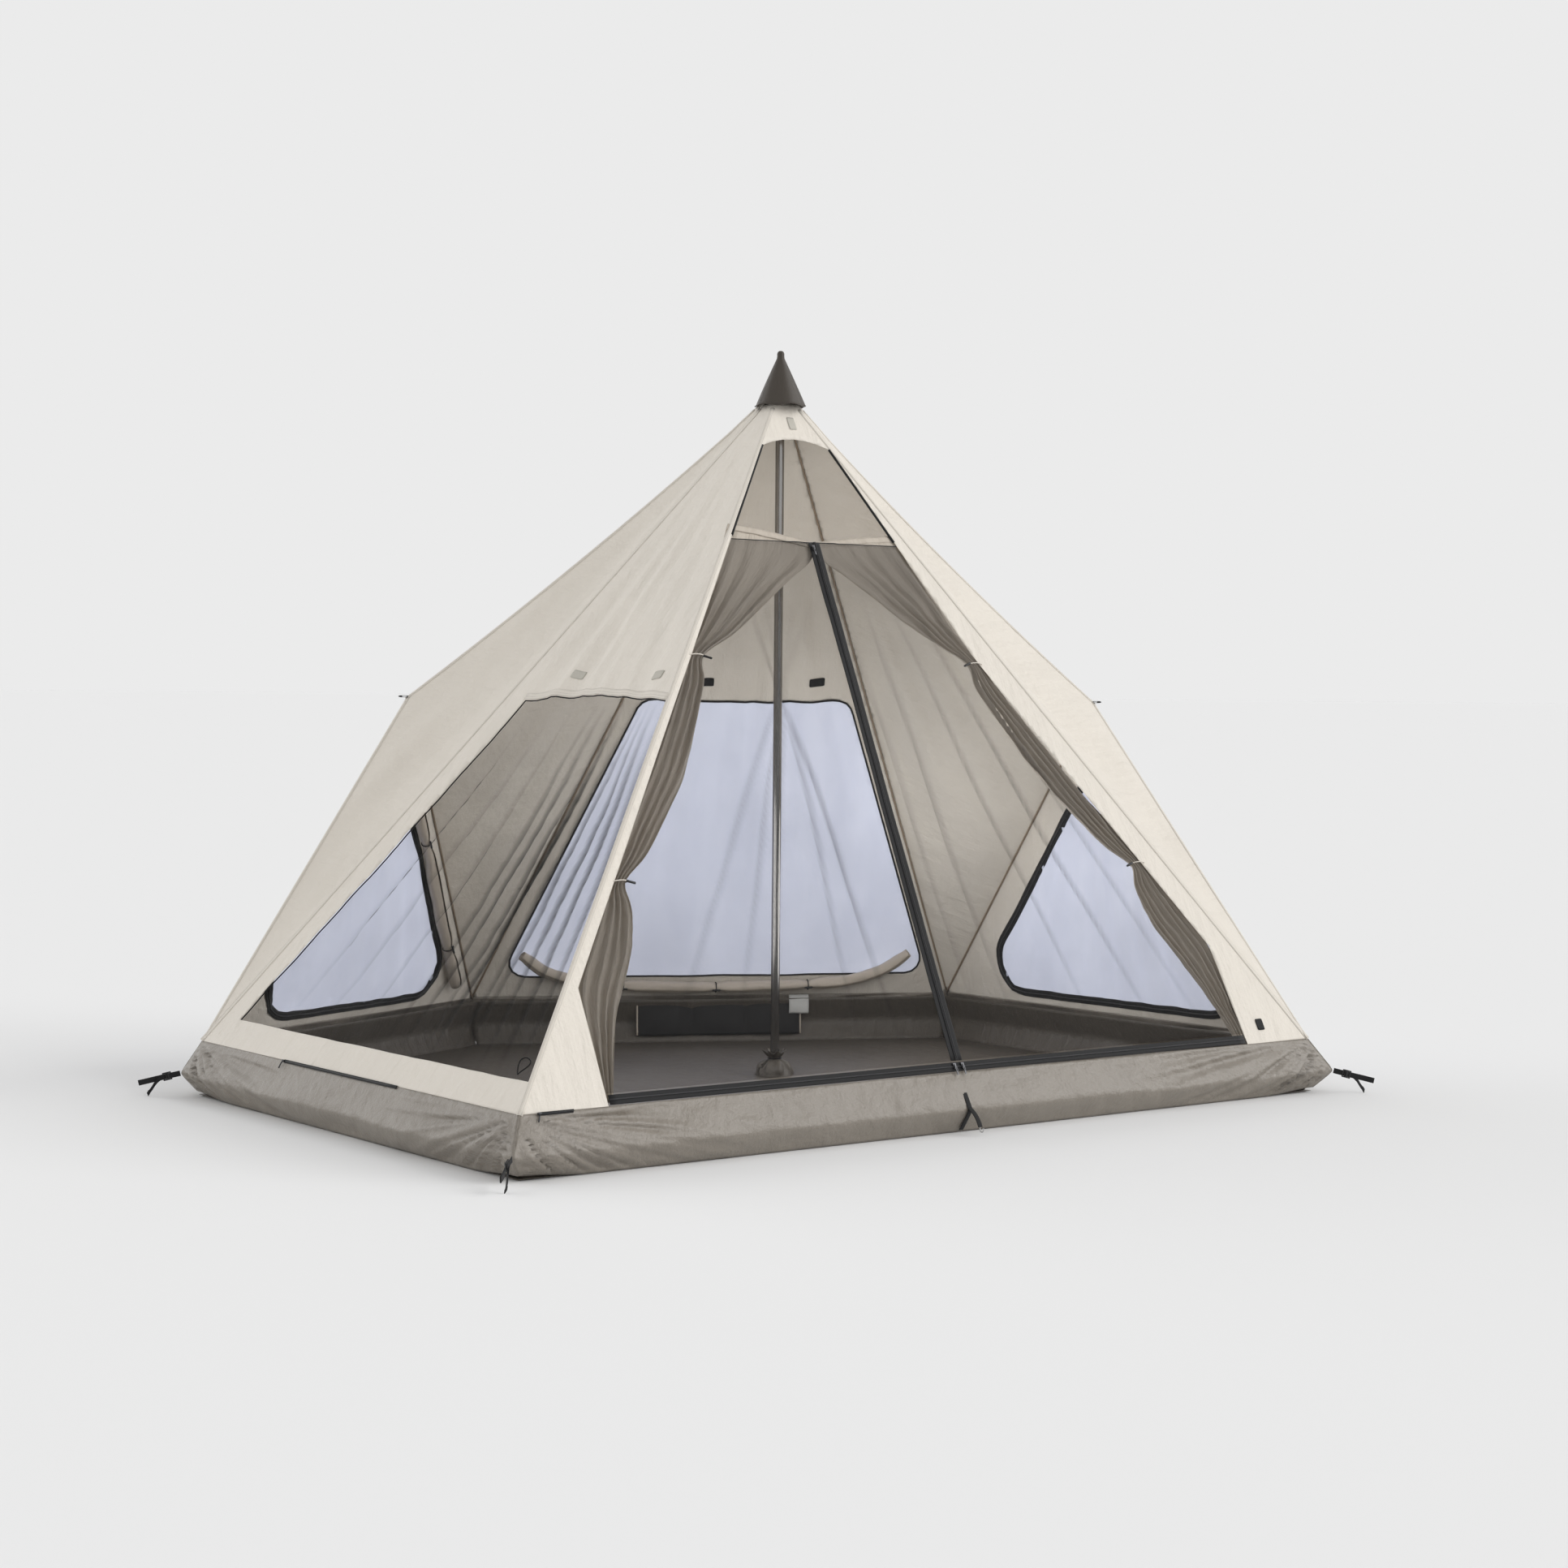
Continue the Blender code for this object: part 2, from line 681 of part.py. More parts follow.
def curtain_outline(face, side):
    """A door curtain gathered to one side: wide at the head, drawn in at its two toggles."""
    left, right = door_edges(face)
    edge = left if side < 0 else right
    _, head = centre_line(face)
    top = head.y + CURTAIN_HEM
    foot = BOTTOM_ZIP / 2.0
    outer, inner = [], []
    knots = [(foot, 0.03)] + [(v, w) for v, w in CURTAIN_WIDTHS if v < top]
    for v, width in knots:
        u = at_rise(edge, v)
        outer.append(Vector((u + side * CURTAIN_OVERLAP, v)))
        inner.append(Vector((u - side * width, v)))
    outer.insert(1, Vector((at_rise(edge, DOOR_FOOT_RISE) + side * CURTAIN_OVERLAP,
                            DOOR_FOOT_RISE)))
    outer.sort(key=lambda point: point.y)
    outer.append(Vector((at_rise(edge, top) + side * CURTAIN_OVERLAP, top)))
    meet = head.x + side * SEAM
    inner += [Vector((meet, head.y - CURTAIN_HEM)), Vector((meet, top))]
    points = outer + list(reversed(inner))
    return points if side > 0 else list(reversed(points))


def make_curtains(faces):
    face = faces["front"]
    for side, name in ((-1, "left"), (1, "right")):
        slab("curtain_" + name, face.matrix, [curtain_outline(face, side)], CLOTH + GAP,
             CURTAIN_THICK, TAUPE)


def smooth_path(face, knots, depth, steps=4):
    """A smooth curve through a few places on a face, at one depth."""
    points = [face.world(u, v, depth) for u, v in knots]
    path = []
    for i in range(len(points) - 1):
        before = points[max(i - 1, 0)]
        p, q = points[i], points[i + 1]
        after = points[min(i + 2, len(points) - 1)]
        for k in range(steps):
            t = k / steps
            s = (q - before) / 2.0
            e = (after - p) / 2.0
            path.append(p * (2 * t ** 3 - 3 * t ** 2 + 1) + s * (t ** 3 - 2 * t ** 2 + t)
                        + q * (3 * t ** 2 - 2 * t ** 3) + e * (t ** 3 - t ** 2))
    return path + [points[-1]]


def make_rolls(faces):
    """Window flaps, rolled up and tied on the inner side of their walls."""
    depth = CLOTH + ZIP_THICK + 2.0 * GAP + ROLL_RADIUS
    back = faces["back"]
    knots = list(ROLL_SAG) + [(back.length / 2.0, ROLL_LOW)]
    knots += [(back.length - u, v) for u, v in reversed(ROLL_SAG)]
    tube("flap_roll_back", smooth_path(back, knots, depth), ROLL_RADIUS, TAUPE)
    for key in ("wall_left", "wall_right"):
        face = faces[key]
        knots = []
        for v in (ROLL_FOOT, (ROLL_FOOT + ROLL_HEAD) / 2.0, ROLL_HEAD):
            knots.append((face.left(v) + D_WINDOW_MARGIN, v))
        tube("flap_roll_" + key[5:], smooth_path(face, knots, depth), ROLL_RADIUS, TAUPE)


def outward(corner):
    """Unit direction in plan, out of the tent, at a corner."""
    before, here = Vector(RING[corner - 1]), Vector(RING[corner])
    after = Vector(RING[(corner + 1) % len(RING)])
    inside = (before - here).normalized() + (after - here).normalized()
    return -inside.normalized()


def strap_frame(corner):
    """Frame at a corner's knuckle: x along the strap, out and a little down. The webbing is
    sewn into the upright seam of the corner, so its width, y, stands up."""
    away = outward(corner)
    along = Vector((away.x, away.y, -STRAP_DROP / STRAP_LENGTH)).normalized()
    up = along.cross(Vector((0.0, 0.0, 1.0))).normalized()
    across = up.cross(along)
    place = ring_point(corner, 0.0, KNUCKLE_Z) + along * SWING
    return Matrix((
        (along.x, across.x, up.x, place.x),
        (along.y, across.y, up.y, place.y),
        (along.z, across.z, up.z, place.z),
        (0.0, 0.0, 0.0, 1.0),
    ))


def make_straps():
    for corner, name in enumerate(CORNERS):
        frame = strap_frame(corner)
        band = Matrix.Translation((STRAP_LENGTH / 2.0, 0.0, 0.0))
        size = (STRAP_LENGTH, WEBBING, WEBBING_THICK)
        block("strap_" + name, frame @ band, size, BLACK, roughness=0.7)
        height = WEBBING_THICK / 2.0 + GAP + BUCKLE[2] / 2.0
        seat = Matrix.Translation((BUCKLE_PLACE, 0.0, height))
        block("buckle_" + name, frame @ seat, BUCKLE, BLACK, roughness=0.45)


def make_guy_tabs(faces):
    """Webbing tabs at the two side pull-outs."""
    for key, name in (("wall_left", "left"), ("wall_right", "right")):
        face = faces[key]
        point = face.corners[2]
        away = Vector((face.normal.x, face.normal.y, 0.0)).normalized()
        across = Vector((0.0, 0.0, 1.0)).cross(away)
        place = point + away * (GUY_TAB / 2.0 + 2.0 * GAP)
        frame = Matrix((
            (away.x, across.x, 0.0, place.x),
            (away.y, across.y, 0.0, place.y),
            (away.z, across.z, 1.0, place.z),
            (0.0, 0.0, 0.0, 1.0),
        ))
        block("guy_tab_" + name, frame, (GUY_TAB, WEBBING, WEBBING_THICK * 2.0), BLACK)


def middle_strap_frame():
    """Frame at the middle of the door side's knuckle: x down and out along the webbing."""
    centre = (FRONT_LEFT_X + FRONT_RIGHT_X) / 2.0
    place = Vector((centre, FRONT_Y - 2.0 * GAP, KNUCKLE_Z))
    along = Vector((0.0, -MIDDLE_STRAP * 0.75, -KNUCKLE_Z * 0.6)).normalized()
    across = Vector((1.0, 0.0, 0.0))
    up = along.cross(across)
    return Matrix((
        (along.x, across.x, up.x, place.x),
        (along.y, across.y, up.y, place.y),
        (along.z, across.z, up.z, place.z),
        (0.0, 0.0, 0.0, 1.0),
    ))


def make_middle_anchor():
    """Webbing and wire hook at the middle of the door side."""
    frame = middle_strap_frame()
    band = Matrix.Translation((MIDDLE_STRAP / 2.0, 0.0, 0.0))
    size = (MIDDLE_STRAP, WEBBING, WEBBING_THICK)
    block("strap_middle", frame @ band, size, BLACK, roughness=0.7)
    start = MIDDLE_STRAP + GAP + HOOK_WIRE
    points = []
    for i in range(10):
        angle = math.radians(100.0 + 28.0 * i)
        points.append(frame @ Vector((
            start + HOOK_RADIUS - HOOK_RADIUS * math.cos(angle - math.radians(100.0)),
            0.0,
            -HOOK_RADIUS * math.sin(angle - math.radians(100.0)),
        )))
    tube("hook_middle", points, HOOK_WIRE, STEEL, metallic=1.0, roughness=0.3)


def make_pole():
    start = CLOTH + GAP
    length = (POLE_TOP_Z - start) / POLE_SECTIONS
    bore = POLE_RADIUS - POLE_WALL
    for i in range(POLE_SECTIONS):
        low = start + i * length
        high = low + length - GAP
        peg = bore - GAP
        top = high + (SPIGOT if i < POLE_SECTIONS - 1 else 0.0)
        profile = [(POLE_RADIUS, high), (POLE_RADIUS, low), (bore, low)]
        profile += [(bore, high - SPIGOT), (peg - POLE_WALL, high - SPIGOT)]
        if i < POLE_SECTIONS - 1:
            profile += [(peg - POLE_WALL, top), (peg, top), (peg, high)]
        else:
            profile += [(peg - POLE_WALL, high)]
        name = "pole_section_%d" % (i + 1)
        turned(name, profile, STEEL, closed=True, steps=20, metallic=1.0, roughness=0.25)
    cap_low = POLE_TOP_Z
    cap = [(0.0, cap_low + 0.045), (0.008, cap_low + 0.040), (POLE_RADIUS, cap_low + 0.005),
           (POLE_RADIUS, cap_low), (0.0, cap_low)]
    turned("pole_cap", cap, BLACK, steps=20)
    rim = POLE_RADIUS + GAP
    boot = [(rim + 0.012, start + BOOT_HEIGHT), (rim + 0.020, start + BOOT_HEIGHT * 0.8),
            (BOOT_RADIUS * 0.75, start + BOOT_HEIGHT * 0.5), (BOOT_RADIUS, start + 0.012),
            (BOOT_RADIUS, start), (rim, start), (rim, start + BOOT_HEIGHT)]
    turned("pole_boot", boot, TAUPE, closed=True, steps=20)


def make_cone():
    """Cloth cone over the apex, open below, closed at its tip."""
    tip = TIP_Z - TIP_RADIUS
    neck = tip - TIP_RADIUS
    profile = [(0.0, TIP_Z), (TIP_RADIUS * 0.7, TIP_Z - TIP_RADIUS * 0.3), (TIP_RADIUS, tip),
               (CONE_NECK, neck), (CONE_RADIUS, CONE_HEM_Z),
               (CONE_RADIUS - CONE_WALL, CONE_HEM_Z)]
    profile += [(CONE_NECK - CONE_WALL, neck - 0.004), (0.0, neck - 0.004)]
    turned("apex_cone", profile, BROWN, steps=20)


def make_pocket():
    """Organiser that hangs on the inner side of the back skirt."""
    start, end = ring_point(B2, 0.0, 0.0), ring_point(B1, 0.0, 0.0)
    along = (end - start).normalized()
    inward = Vector((0.0, 0.0, 1.0)).cross(along)
    depth = SKIRT_TOP_INSET + CLOTH * 2.0 + POCKET[2] / 2.0
    low = SKIRT_TOP_Z - POCKET[1] / 2.0 - POCKET_DROP
    place = start.lerp(end, 0.49) + inward * depth + Vector((0.0, 0.0, low))
    frame = Matrix((
        (along.x, 0.0, inward.x, place.x),
        (along.y, 0.0, inward.y, place.y),
        (along.z, 1.0, inward.z, place.z),
        (0.0, 0.0, 0.0, 1.0),
    ))
    block("pocket", frame, POCKET, BLACK)


def main():
    clear_scene()
    faces = canopy_faces()
    make_pole()
    make_cone()
    make_canopy(faces)
    make_window_zips(faces)
    make_skirt()
    make_door(faces)
    make_sliders(faces)
    make_curtains(faces)
    make_rolls(faces)
    make_straps()
    make_guy_tabs(faces)
    make_middle_anchor()
    make_pocket()


main()
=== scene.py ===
# %% [markdown]
# # A teepee tent
# One steel pole holds up a sewn canopy over a bathtub floor. The canopy is cut from flat
# triangles, and what makes it look like cloth is what happens to them after cutting: they
# sag a little between their seams, and they carry creases. So each panel here starts as the
# flat face of its CAD solid, is cut into a fine grid, and is then draped.

# %% Load the frame
import json
import math

import bmesh
import bpy
from mathutils import Matrix, Vector, noise


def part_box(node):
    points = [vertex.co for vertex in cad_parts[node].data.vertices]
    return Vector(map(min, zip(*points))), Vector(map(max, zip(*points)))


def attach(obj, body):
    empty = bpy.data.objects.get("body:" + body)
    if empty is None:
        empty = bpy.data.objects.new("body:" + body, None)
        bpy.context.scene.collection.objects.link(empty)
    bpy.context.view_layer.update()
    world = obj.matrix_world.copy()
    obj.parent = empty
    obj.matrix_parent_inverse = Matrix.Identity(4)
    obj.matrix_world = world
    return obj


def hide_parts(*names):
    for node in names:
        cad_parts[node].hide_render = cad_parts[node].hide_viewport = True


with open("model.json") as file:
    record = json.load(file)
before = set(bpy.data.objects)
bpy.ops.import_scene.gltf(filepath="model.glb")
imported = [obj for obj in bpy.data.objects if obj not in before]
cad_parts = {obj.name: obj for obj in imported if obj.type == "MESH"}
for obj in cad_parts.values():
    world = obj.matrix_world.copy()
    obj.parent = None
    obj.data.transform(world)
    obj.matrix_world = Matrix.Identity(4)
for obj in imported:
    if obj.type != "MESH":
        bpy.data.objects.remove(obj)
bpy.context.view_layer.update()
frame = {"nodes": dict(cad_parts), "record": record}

nodes, record = frame["nodes"], frame["record"]
joints = {joint["name"]: joint for joint in record["behaviour"]["joints"]}
print("pieces in the frame:", len(nodes), "joints:", len(joints))

# %% [markdown]
# ## Camera, light and floor
# The tent is seen from in front of its left awning, from standing height and ten metres
# away. It is lit by a white room whose ceiling is darker than its walls, by a wide soft sun
# from the right and a weaker one from the left, and by three soft lamps under the canopy
# for the daylight that comes through the cloth. The floor melts into the background.

# %% Camera
TURN = Matrix.Rotation(math.radians(-34.5), 3, "Z")
TILT, ROLL = math.radians(-2.08), math.radians(0.5)
EYE = TURN @ Vector((0.027, -10.0, 1.497))
SENSOR, LENS = 36.0, 59.39


def add_camera():
    data = bpy.data.cameras.new("camera")
    data.sensor_width, data.lens = SENSOR, LENS
    data.clip_end = 1000.0
    ahead = Vector((0.0, math.cos(TILT), math.sin(TILT)))
    side = Vector((1.0, 0.0, 0.0))
    up = side.cross(ahead)
    right = TURN @ (side * math.cos(ROLL) + up * math.sin(ROLL))
    top = TURN @ (up * math.cos(ROLL) - side * math.sin(ROLL))
    turn = Matrix((right, top, -(TURN @ ahead))).transposed().to_4x4()
    camera = bpy.data.objects.new("camera", data)
    camera.matrix_world = Matrix.Translation(EYE) @ turn
    bpy.context.scene.collection.objects.link(camera)
    bpy.context.scene.camera = camera
    return camera


camera = add_camera()
print("camera at", [round(x, 2) for x in EYE])


# %% World and lights
BACKGROUND = (0.831, 0.831, 0.831, 1.0)
WALLS_STRENGTH, CEILING_STRENGTH = 0.97, 0.52


def add_world():
    """The lens sees one even grey; the tent is lit by a white room with a darker ceiling."""
    world = bpy.data.worlds.new("studio")
    world.use_nodes = True
    tree = world.node_tree
    backdrop = tree.nodes["Background"]
    backdrop.inputs["Color"].default_value = BACKGROUND
    room = tree.nodes.new("ShaderNodeBackground")
    room.inputs["Color"].default_value = (1.0, 1.0, 1.0, 1.0)
    place = tree.nodes.new("ShaderNodeTexCoord")
    parts = tree.nodes.new("ShaderNodeSeparateXYZ")
    up_the_walls = tree.nodes.new("ShaderNodeMapRange")
    up_the_walls.inputs["To Min"].default_value = WALLS_STRENGTH
    up_the_walls.inputs["To Max"].default_value = CEILING_STRENGTH
    tree.links.new(place.outputs["Generated"], parts.inputs[0])
    tree.links.new(parts.outputs["Z"], up_the_walls.inputs["Value"])
    tree.links.new(up_the_walls.outputs[0], room.inputs["Strength"])
    path = tree.nodes.new("ShaderNodeLightPath")
    mix = tree.nodes.new("ShaderNodeMixShader")
    tree.links.new(path.outputs["Is Camera Ray"], mix.inputs[0])
    tree.links.new(room.outputs[0], mix.inputs[1])
    tree.links.new(backdrop.outputs[0], mix.inputs[2])
    tree.links.new(mix.outputs[0], tree.nodes["World Output"].inputs[0])
    bpy.context.scene.world = world


def add_sun(name, towards, strength, softness):
    """A sun in the direction of a point, as seen from the tent, in the camera's own axes."""
    data = bpy.data.lights.new(name, "SUN")
    data.energy, data.angle = strength, math.radians(softness)
    lamp = bpy.data.objects.new(name, data)
    away = TURN @ Vector(towards)
    lamp.matrix_world = away.to_track_quat("Z", "Y").to_matrix().to_4x4()
    bpy.context.scene.collection.objects.link(lamp)


def add_glow(name, place, strength, size):
    """A soft lamp under the canopy, for the daylight that real cloth lets through."""
    data = bpy.data.lights.new(name, "POINT")
    data.energy, data.shadow_soft_size = strength, size
    data.specular_factor = 0.0
    lamp = bpy.data.objects.new(name, data)
    lamp.location = place
    bpy.context.scene.collection.objects.link(lamp)


add_world()
add_sun("key", (0.86, -0.10, 0.50), 1.50, 40.0)
add_sun("rim", (-0.90, 0.35, 0.35), 0.75, 60.0)
add_glow("glow_high", (0.10, 0.05, 1.30), 2.0, 0.45)
add_glow("glow_low", (-0.65, -0.15, 0.70), 16.0, 0.45)
add_glow("glow_right", (0.45, -0.35, 0.65), 19.0, 0.40)
bpy.context.scene.view_settings.view_transform = "Standard"


# %% [markdown]
# ## Finishes
# Every finish on the tent is a Principled shader. A small class wraps a socket, so that a
# mask can be written as a sum in Python, and one method makes any other node. Cloth reads
# its own flat pattern, in metres, from a UV map, so a weave or a stitch runs with the thread.

# %% Shader sums
class Wire:
    """A socket that can be added, multiplied and compared; each sum is a Math node."""

    def __init__(self, finish, socket):
        self.finish, self.socket = finish, socket

    def sum(self, operation, *values):
        return self.finish.node("ShaderNodeMath", {"operation": operation}, values)

    def __add__(self, other):
        return self.sum("ADD", self, other)

    def __mul__(self, other):
        return self.sum("MULTIPLY", self, other)

    def __sub__(self, other):
        return self.sum("SUBTRACT", self, other)

    def __rsub__(self, other):
        return self.sum("SUBTRACT", other, self)

    def __truediv__(self, other):
        return self.sum("DIVIDE", self, other)

    def __mod__(self, other):
        return self.sum("FLOORED_MODULO", self, other)

    def __lt__(self, other):
        return self.sum("LESS_THAN", self, other)

    def __gt__(self, other):
        return self.sum("GREATER_THAN", self, other)

    def __abs__(self):
        return self.sum("ABSOLUTE", self)

    __radd__, __rmul__ = __add__, __mul__

    def most(self, other):
        return self.sum("MAXIMUM", self, other)

    def least(self, other):
        return self.sum("MINIMUM", self, other)


class Finish:
    """A material on its Principled shader."""

    def __init__(self, name):
        self.material = bpy.data.materials.new(name)
        self.material.use_nodes = True
        self.tree = self.material.node_tree
        self.shader = self.tree.nodes["Principled BSDF"]

    def node(self, kind, settings=None, inputs=(), output=0):
        made = self.tree.nodes.new(kind)
        for key, value in (settings or {}).items():
            setattr(made, key, value)
        pairs = inputs.items() if isinstance(inputs, dict) else enumerate(inputs)
        for key, value in pairs:
            self.feed(made.inputs[key], value)
        return Wire(self, made.outputs[output])

    def feed(self, socket, value):
        if isinstance(value, Wire):
            self.tree.links.new(value.socket, socket)
        else:
            socket.default_value = value

    def wear(self, values):
        for key, value in values.items():
            self.feed(self.shader.inputs[key], value)
        return self

    def mix(self, factor, first, second):
        return self.node("ShaderNodeMix", {"data_type": "RGBA"},
                         {0: factor, 6: first, 7: second}, 2)

    def noise(self, place, scale, detail=3.0, kind="FBM", **more):
        inputs = {"Vector": place, "Scale": scale, "Detail": detail, **more}
        return self.node("ShaderNodeTexNoise", {"noise_type": kind}, inputs)

    def stretched(self, place, scale):
        return self.node("ShaderNodeMapping", None, {"Vector": place, "Scale": scale})

    def split(self, place):
        made = self.tree.nodes.new("ShaderNodeSeparateXYZ")
        self.feed(made.inputs[0], place)
        return [Wire(self, made.outputs[i]) for i in range(3)]

    def bump(self, height, distance, strength=1.0):
        return self.node("ShaderNodeBump", None, {
            "Height": height, "Distance": distance, "Strength": strength})


def linear(*values):
    """A colour from its everyday 0 to 255 values."""
    parts = [v / 255.0 for v in values]
    lit = [p / 12.92 if p <= 0.04045 else ((p + 0.055) / 1.055) ** 2.4 for p in parts]
    return (*lit, 1.0)


def darker(colour, share):
    return (*(c * share for c in colour[:3]), 1.0)


# %% Cloth finishes
THREAD = 0.0011                      # pitch of the weave that a close look shows


def cloth_finish(name, colour, roughness, blotch=0.94, crease=0.0012, sheen=0.0,
                 gloss=0.5, stitched=False, thread=THREAD, streaks=2.8):
    """Woven cloth: a weave, soft blotches, sharp creases from packing, and stitches."""
    made = Finish(name)
    flat = made.node("ShaderNodeUVMap", {"uv_map": "cloth"})
    across, along, _ = made.split(flat)
    broad = made.noise(flat, 2.6, 4.0)
    crumple = made.noise(flat, 7.5, 5.0, "RIDGED_MULTIFRACTAL", Roughness=0.45)
    streak = made.noise(made.stretched(flat, (1.0, 0.16, 1.0)), 11.0, 4.0, Roughness=0.55)
    packed = made.noise(flat, 15.0, 7.0, Roughness=0.62)
    pitch = math.tau / thread
    warp = (across * pitch).sum("SINE", across * pitch)
    weft = (along * pitch).sum("SINE", along * pitch)
    weave = warp * weft
    shade = made.mix(broad, darker(colour, blotch), darker(colour, 2.0 - blotch))
    worn = made.mix(weave * 0.06 + 0.06, shade, darker(colour, 0.72))
    height = (crumple * 0.25 + streak * streaks + packed * 1.6) * crease
    height = height + weave * (thread * 0.05)
    if stitched:
        dash = (along / 0.005) % 1.0 < 0.62
        rows = (abs(across - 0.004) < 0.0008).most(abs(across - 0.014) < 0.0008)
        stitch = dash * rows
        worn = made.mix(stitch * 0.55, worn, darker(colour, 0.45))
        height = height - stitch * 0.0006
    made.wear({"Base Color": worn, "Roughness": roughness + broad * 0.08,
               "Normal": made.bump(height, 1.0), "Specular IOR Level": gloss,
               "Sheen Weight": sheen, "Sheen Roughness": 0.4})
    return made


CREAM = linear(222, 215, 204)
TAUPE = linear(158, 149, 137)
BROWN = linear(60, 53, 45)
DARK = linear(52, 48, 43)
BLACK = linear(26, 26, 27)

cream = cloth_finish("cream_cloth", CREAM, 0.50, 0.96, 0.0048, 0.10)
cream_hem = cloth_finish("cream_hem", darker(CREAM, 0.97), 0.6, 0.97, 0.0006, 0.1,
                         stitched=True)
taupe = cloth_finish("taupe_cloth", darker(TAUPE, 1.46), 0.50, 0.88, 0.0040, 0.15)
taupe_hem = cloth_finish("taupe_hem", linear(140, 124, 106), 0.6, 0.94, 0.0006, 0.15,
                         stitched=True)
skirt_cloth = cloth_finish("skirt_cloth", darker(TAUPE, 0.68), 0.32, 0.92,
                           0.0075, 0.05, 0.8, streaks=0.5)
floor_cloth = cloth_finish("floor_cloth", darker(DARK, 2.9), 0.42, 0.90, 0.0050, 0.0, 0.5)
cone_cloth = cloth_finish("cone_cloth", BROWN, 0.50, 0.92, 0.0012, 0.1)
webbing = cloth_finish("webbing", BLACK, 0.65, 0.9, 0.0, 0.1, 0.3, thread=0.0030)
zip_tape = cloth_finish("zip_tape", BLACK, 0.62, 0.9, 0.0002, 0.15, 0.3, thread=0.0016)
patch_pale = cloth_finish("patch_pale", linear(190, 186, 176), 0.9, 0.9, 0.0004,
                          thread=0.0022)
patch_black = cloth_finish("patch_black", BLACK, 0.95, 0.9, 0.0004, thread=0.0022)
pocket_cloth = cloth_finish("pocket_cloth", linear(34, 33, 33), 0.75, 0.85, 0.001)


# %% See-through finishes
def mesh_finish():
    """Black insect netting: mostly air, darker where it folds on itself."""
    made = Finish("black_mesh")
    flat = made.node("ShaderNodeUVMap", {"uv_map": "cloth"})
    folds = made.node("ShaderNodeAttribute", {"attribute_name": "fold"}, (), 2)
    across, along, _ = made.split(flat)
    cell = math.tau / 0.0016
    net = ((across * cell).sum("COSINE", across * cell).most(
        (along * cell).sum("COSINE", along * cell))) * 0.06
    drift = made.noise(flat, 1.6, 2.0)
    made.wear({"Base Color": linear(20, 20, 21), "Roughness": 0.7,
               "Alpha": (folds * 0.5 + drift * 0.12 + net + 0.12).least(0.95),
               "Specular IOR Level": 0.2})
    return made


def film_finish():
    """Clear window film with a painted pale blue glow that stands in for the daylight behind
    it, and soft creases.
    """
    made = Finish("window_film")
    flat = made.node("ShaderNodeUVMap", {"uv_map": "cloth"})
    broad = made.noise(made.stretched(flat, (1.0, 0.35, 1.0)), 5.0, 4.0)
    crumple = made.noise(flat, 6.0, 5.0, "RIDGED_MULTIFRACTAL", Roughness=0.5)
    painted_backlight = made.mix(broad, linear(184, 189, 208), linear(208, 212, 226))
    # The film's colour and its emission are a painted glow of the daylight behind it; the film
    # is no lamp.
    made.wear({"Base Color": painted_backlight, "Roughness": 0.35, "Alpha": 0.52 + broad * 0.10,
               "Emission Color": painted_backlight, "Emission Strength": 0.60,
               "Normal": made.bump(crumple, 0.0080), "Specular IOR Level": 0.5})
    return made


black_mesh, window_film = mesh_finish(), film_finish()


# %% Steel, plastic and zip coil
def solid_finish(name, colour, roughness, metallic=0.0, grain=90.0, depth=0.00015,
                 stretch=(1.0, 1.0, 1.0)):
    """A hard finish with fine grain and slight wear, on Object coordinates."""
    made = Finish(name)
    place = made.node("ShaderNodeTexCoord", None, (), 3)
    fine = made.noise(made.stretched(place, stretch), grain, 4.0)
    broad = made.noise(place, grain * 0.12, 2.0)
    made.wear({"Base Color": made.mix(broad, darker(colour, 0.86), darker(colour, 1.1)),
               "Roughness": roughness + fine * 0.16 - 0.08, "Metallic": metallic,
               "Normal": made.bump(fine, depth)})
    return made


pole_steel = solid_finish("pole_steel", linear(150, 148, 146), 0.20, 1.0, 60.0, 0.0001,
                          (6.0, 6.0, 0.25))
plastic = solid_finish("black_plastic", BLACK, 0.42)
zip_metal = solid_finish("zip_metal", linear(78, 78, 80), 0.32, 1.0)
hook_wire = solid_finish("hook_wire", linear(200, 200, 200), 0.25, 1.0)


def coil_finish():
    """The spiral of a zip: fine ribs across its length, with painted highlights on their
    crests and painted shade in the grooves between them.
    """
    made = Finish("zip_coil")
    flat = made.node("ShaderNodeUVMap", {"uv_map": "cloth"})
    _, along, _ = made.split(flat)
    turn = math.tau / 0.0022
    rib = (along * turn).sum("SINE", along * turn)
    # Colour follows the ribs: a painted highlight on each crest and painted shade in each
    # groove.
    made.wear({"Base Color": made.mix(rib * 0.5 + 0.5, linear(20, 20, 21),
                                      linear(70, 70, 72)),
               "Roughness": 0.38 + rib * 0.05, "Normal": made.bump(rib, 0.0004)})
    return made


zip_coil = coil_finish()
print("finishes:", len(bpy.data.materials))


# %% [markdown]
# ## Measure the frame
# Nothing here is placed by eye. The planes of the canopy come from the CAD panels, and the
# corners are where those planes meet. Each triangle then has a frame of its own: u runs
# along its foot, v up its slope, and depth goes into the tent.

# %% Planes, corners and faces
INSIDE = Vector((0.0, 0.0, 1.0))
SIDES = ("front", "right", "back", "left", "front_left")
CORNERS = ("front_left", "right", "back_right", "back_left", "left")


def outer_plane(name):
    """Unit normal of a flat piece's outer side, and the plane's distance."""
    mesh = nodes[name].data
    widest = max(mesh.polygons, key=lambda face: face.area)
    normal = widest.normal.copy()
    if normal.dot(widest.center - INSIDE) < 0.0:
        normal.negate()
    return normal, max(normal.dot(v.co) for v in mesh.vertices)


def meeting(*planes):
    """The point where three planes meet."""
    rows = Matrix([plane[0] for plane in planes])
    return rows.inverted() @ Vector([plane[1] for plane in planes])


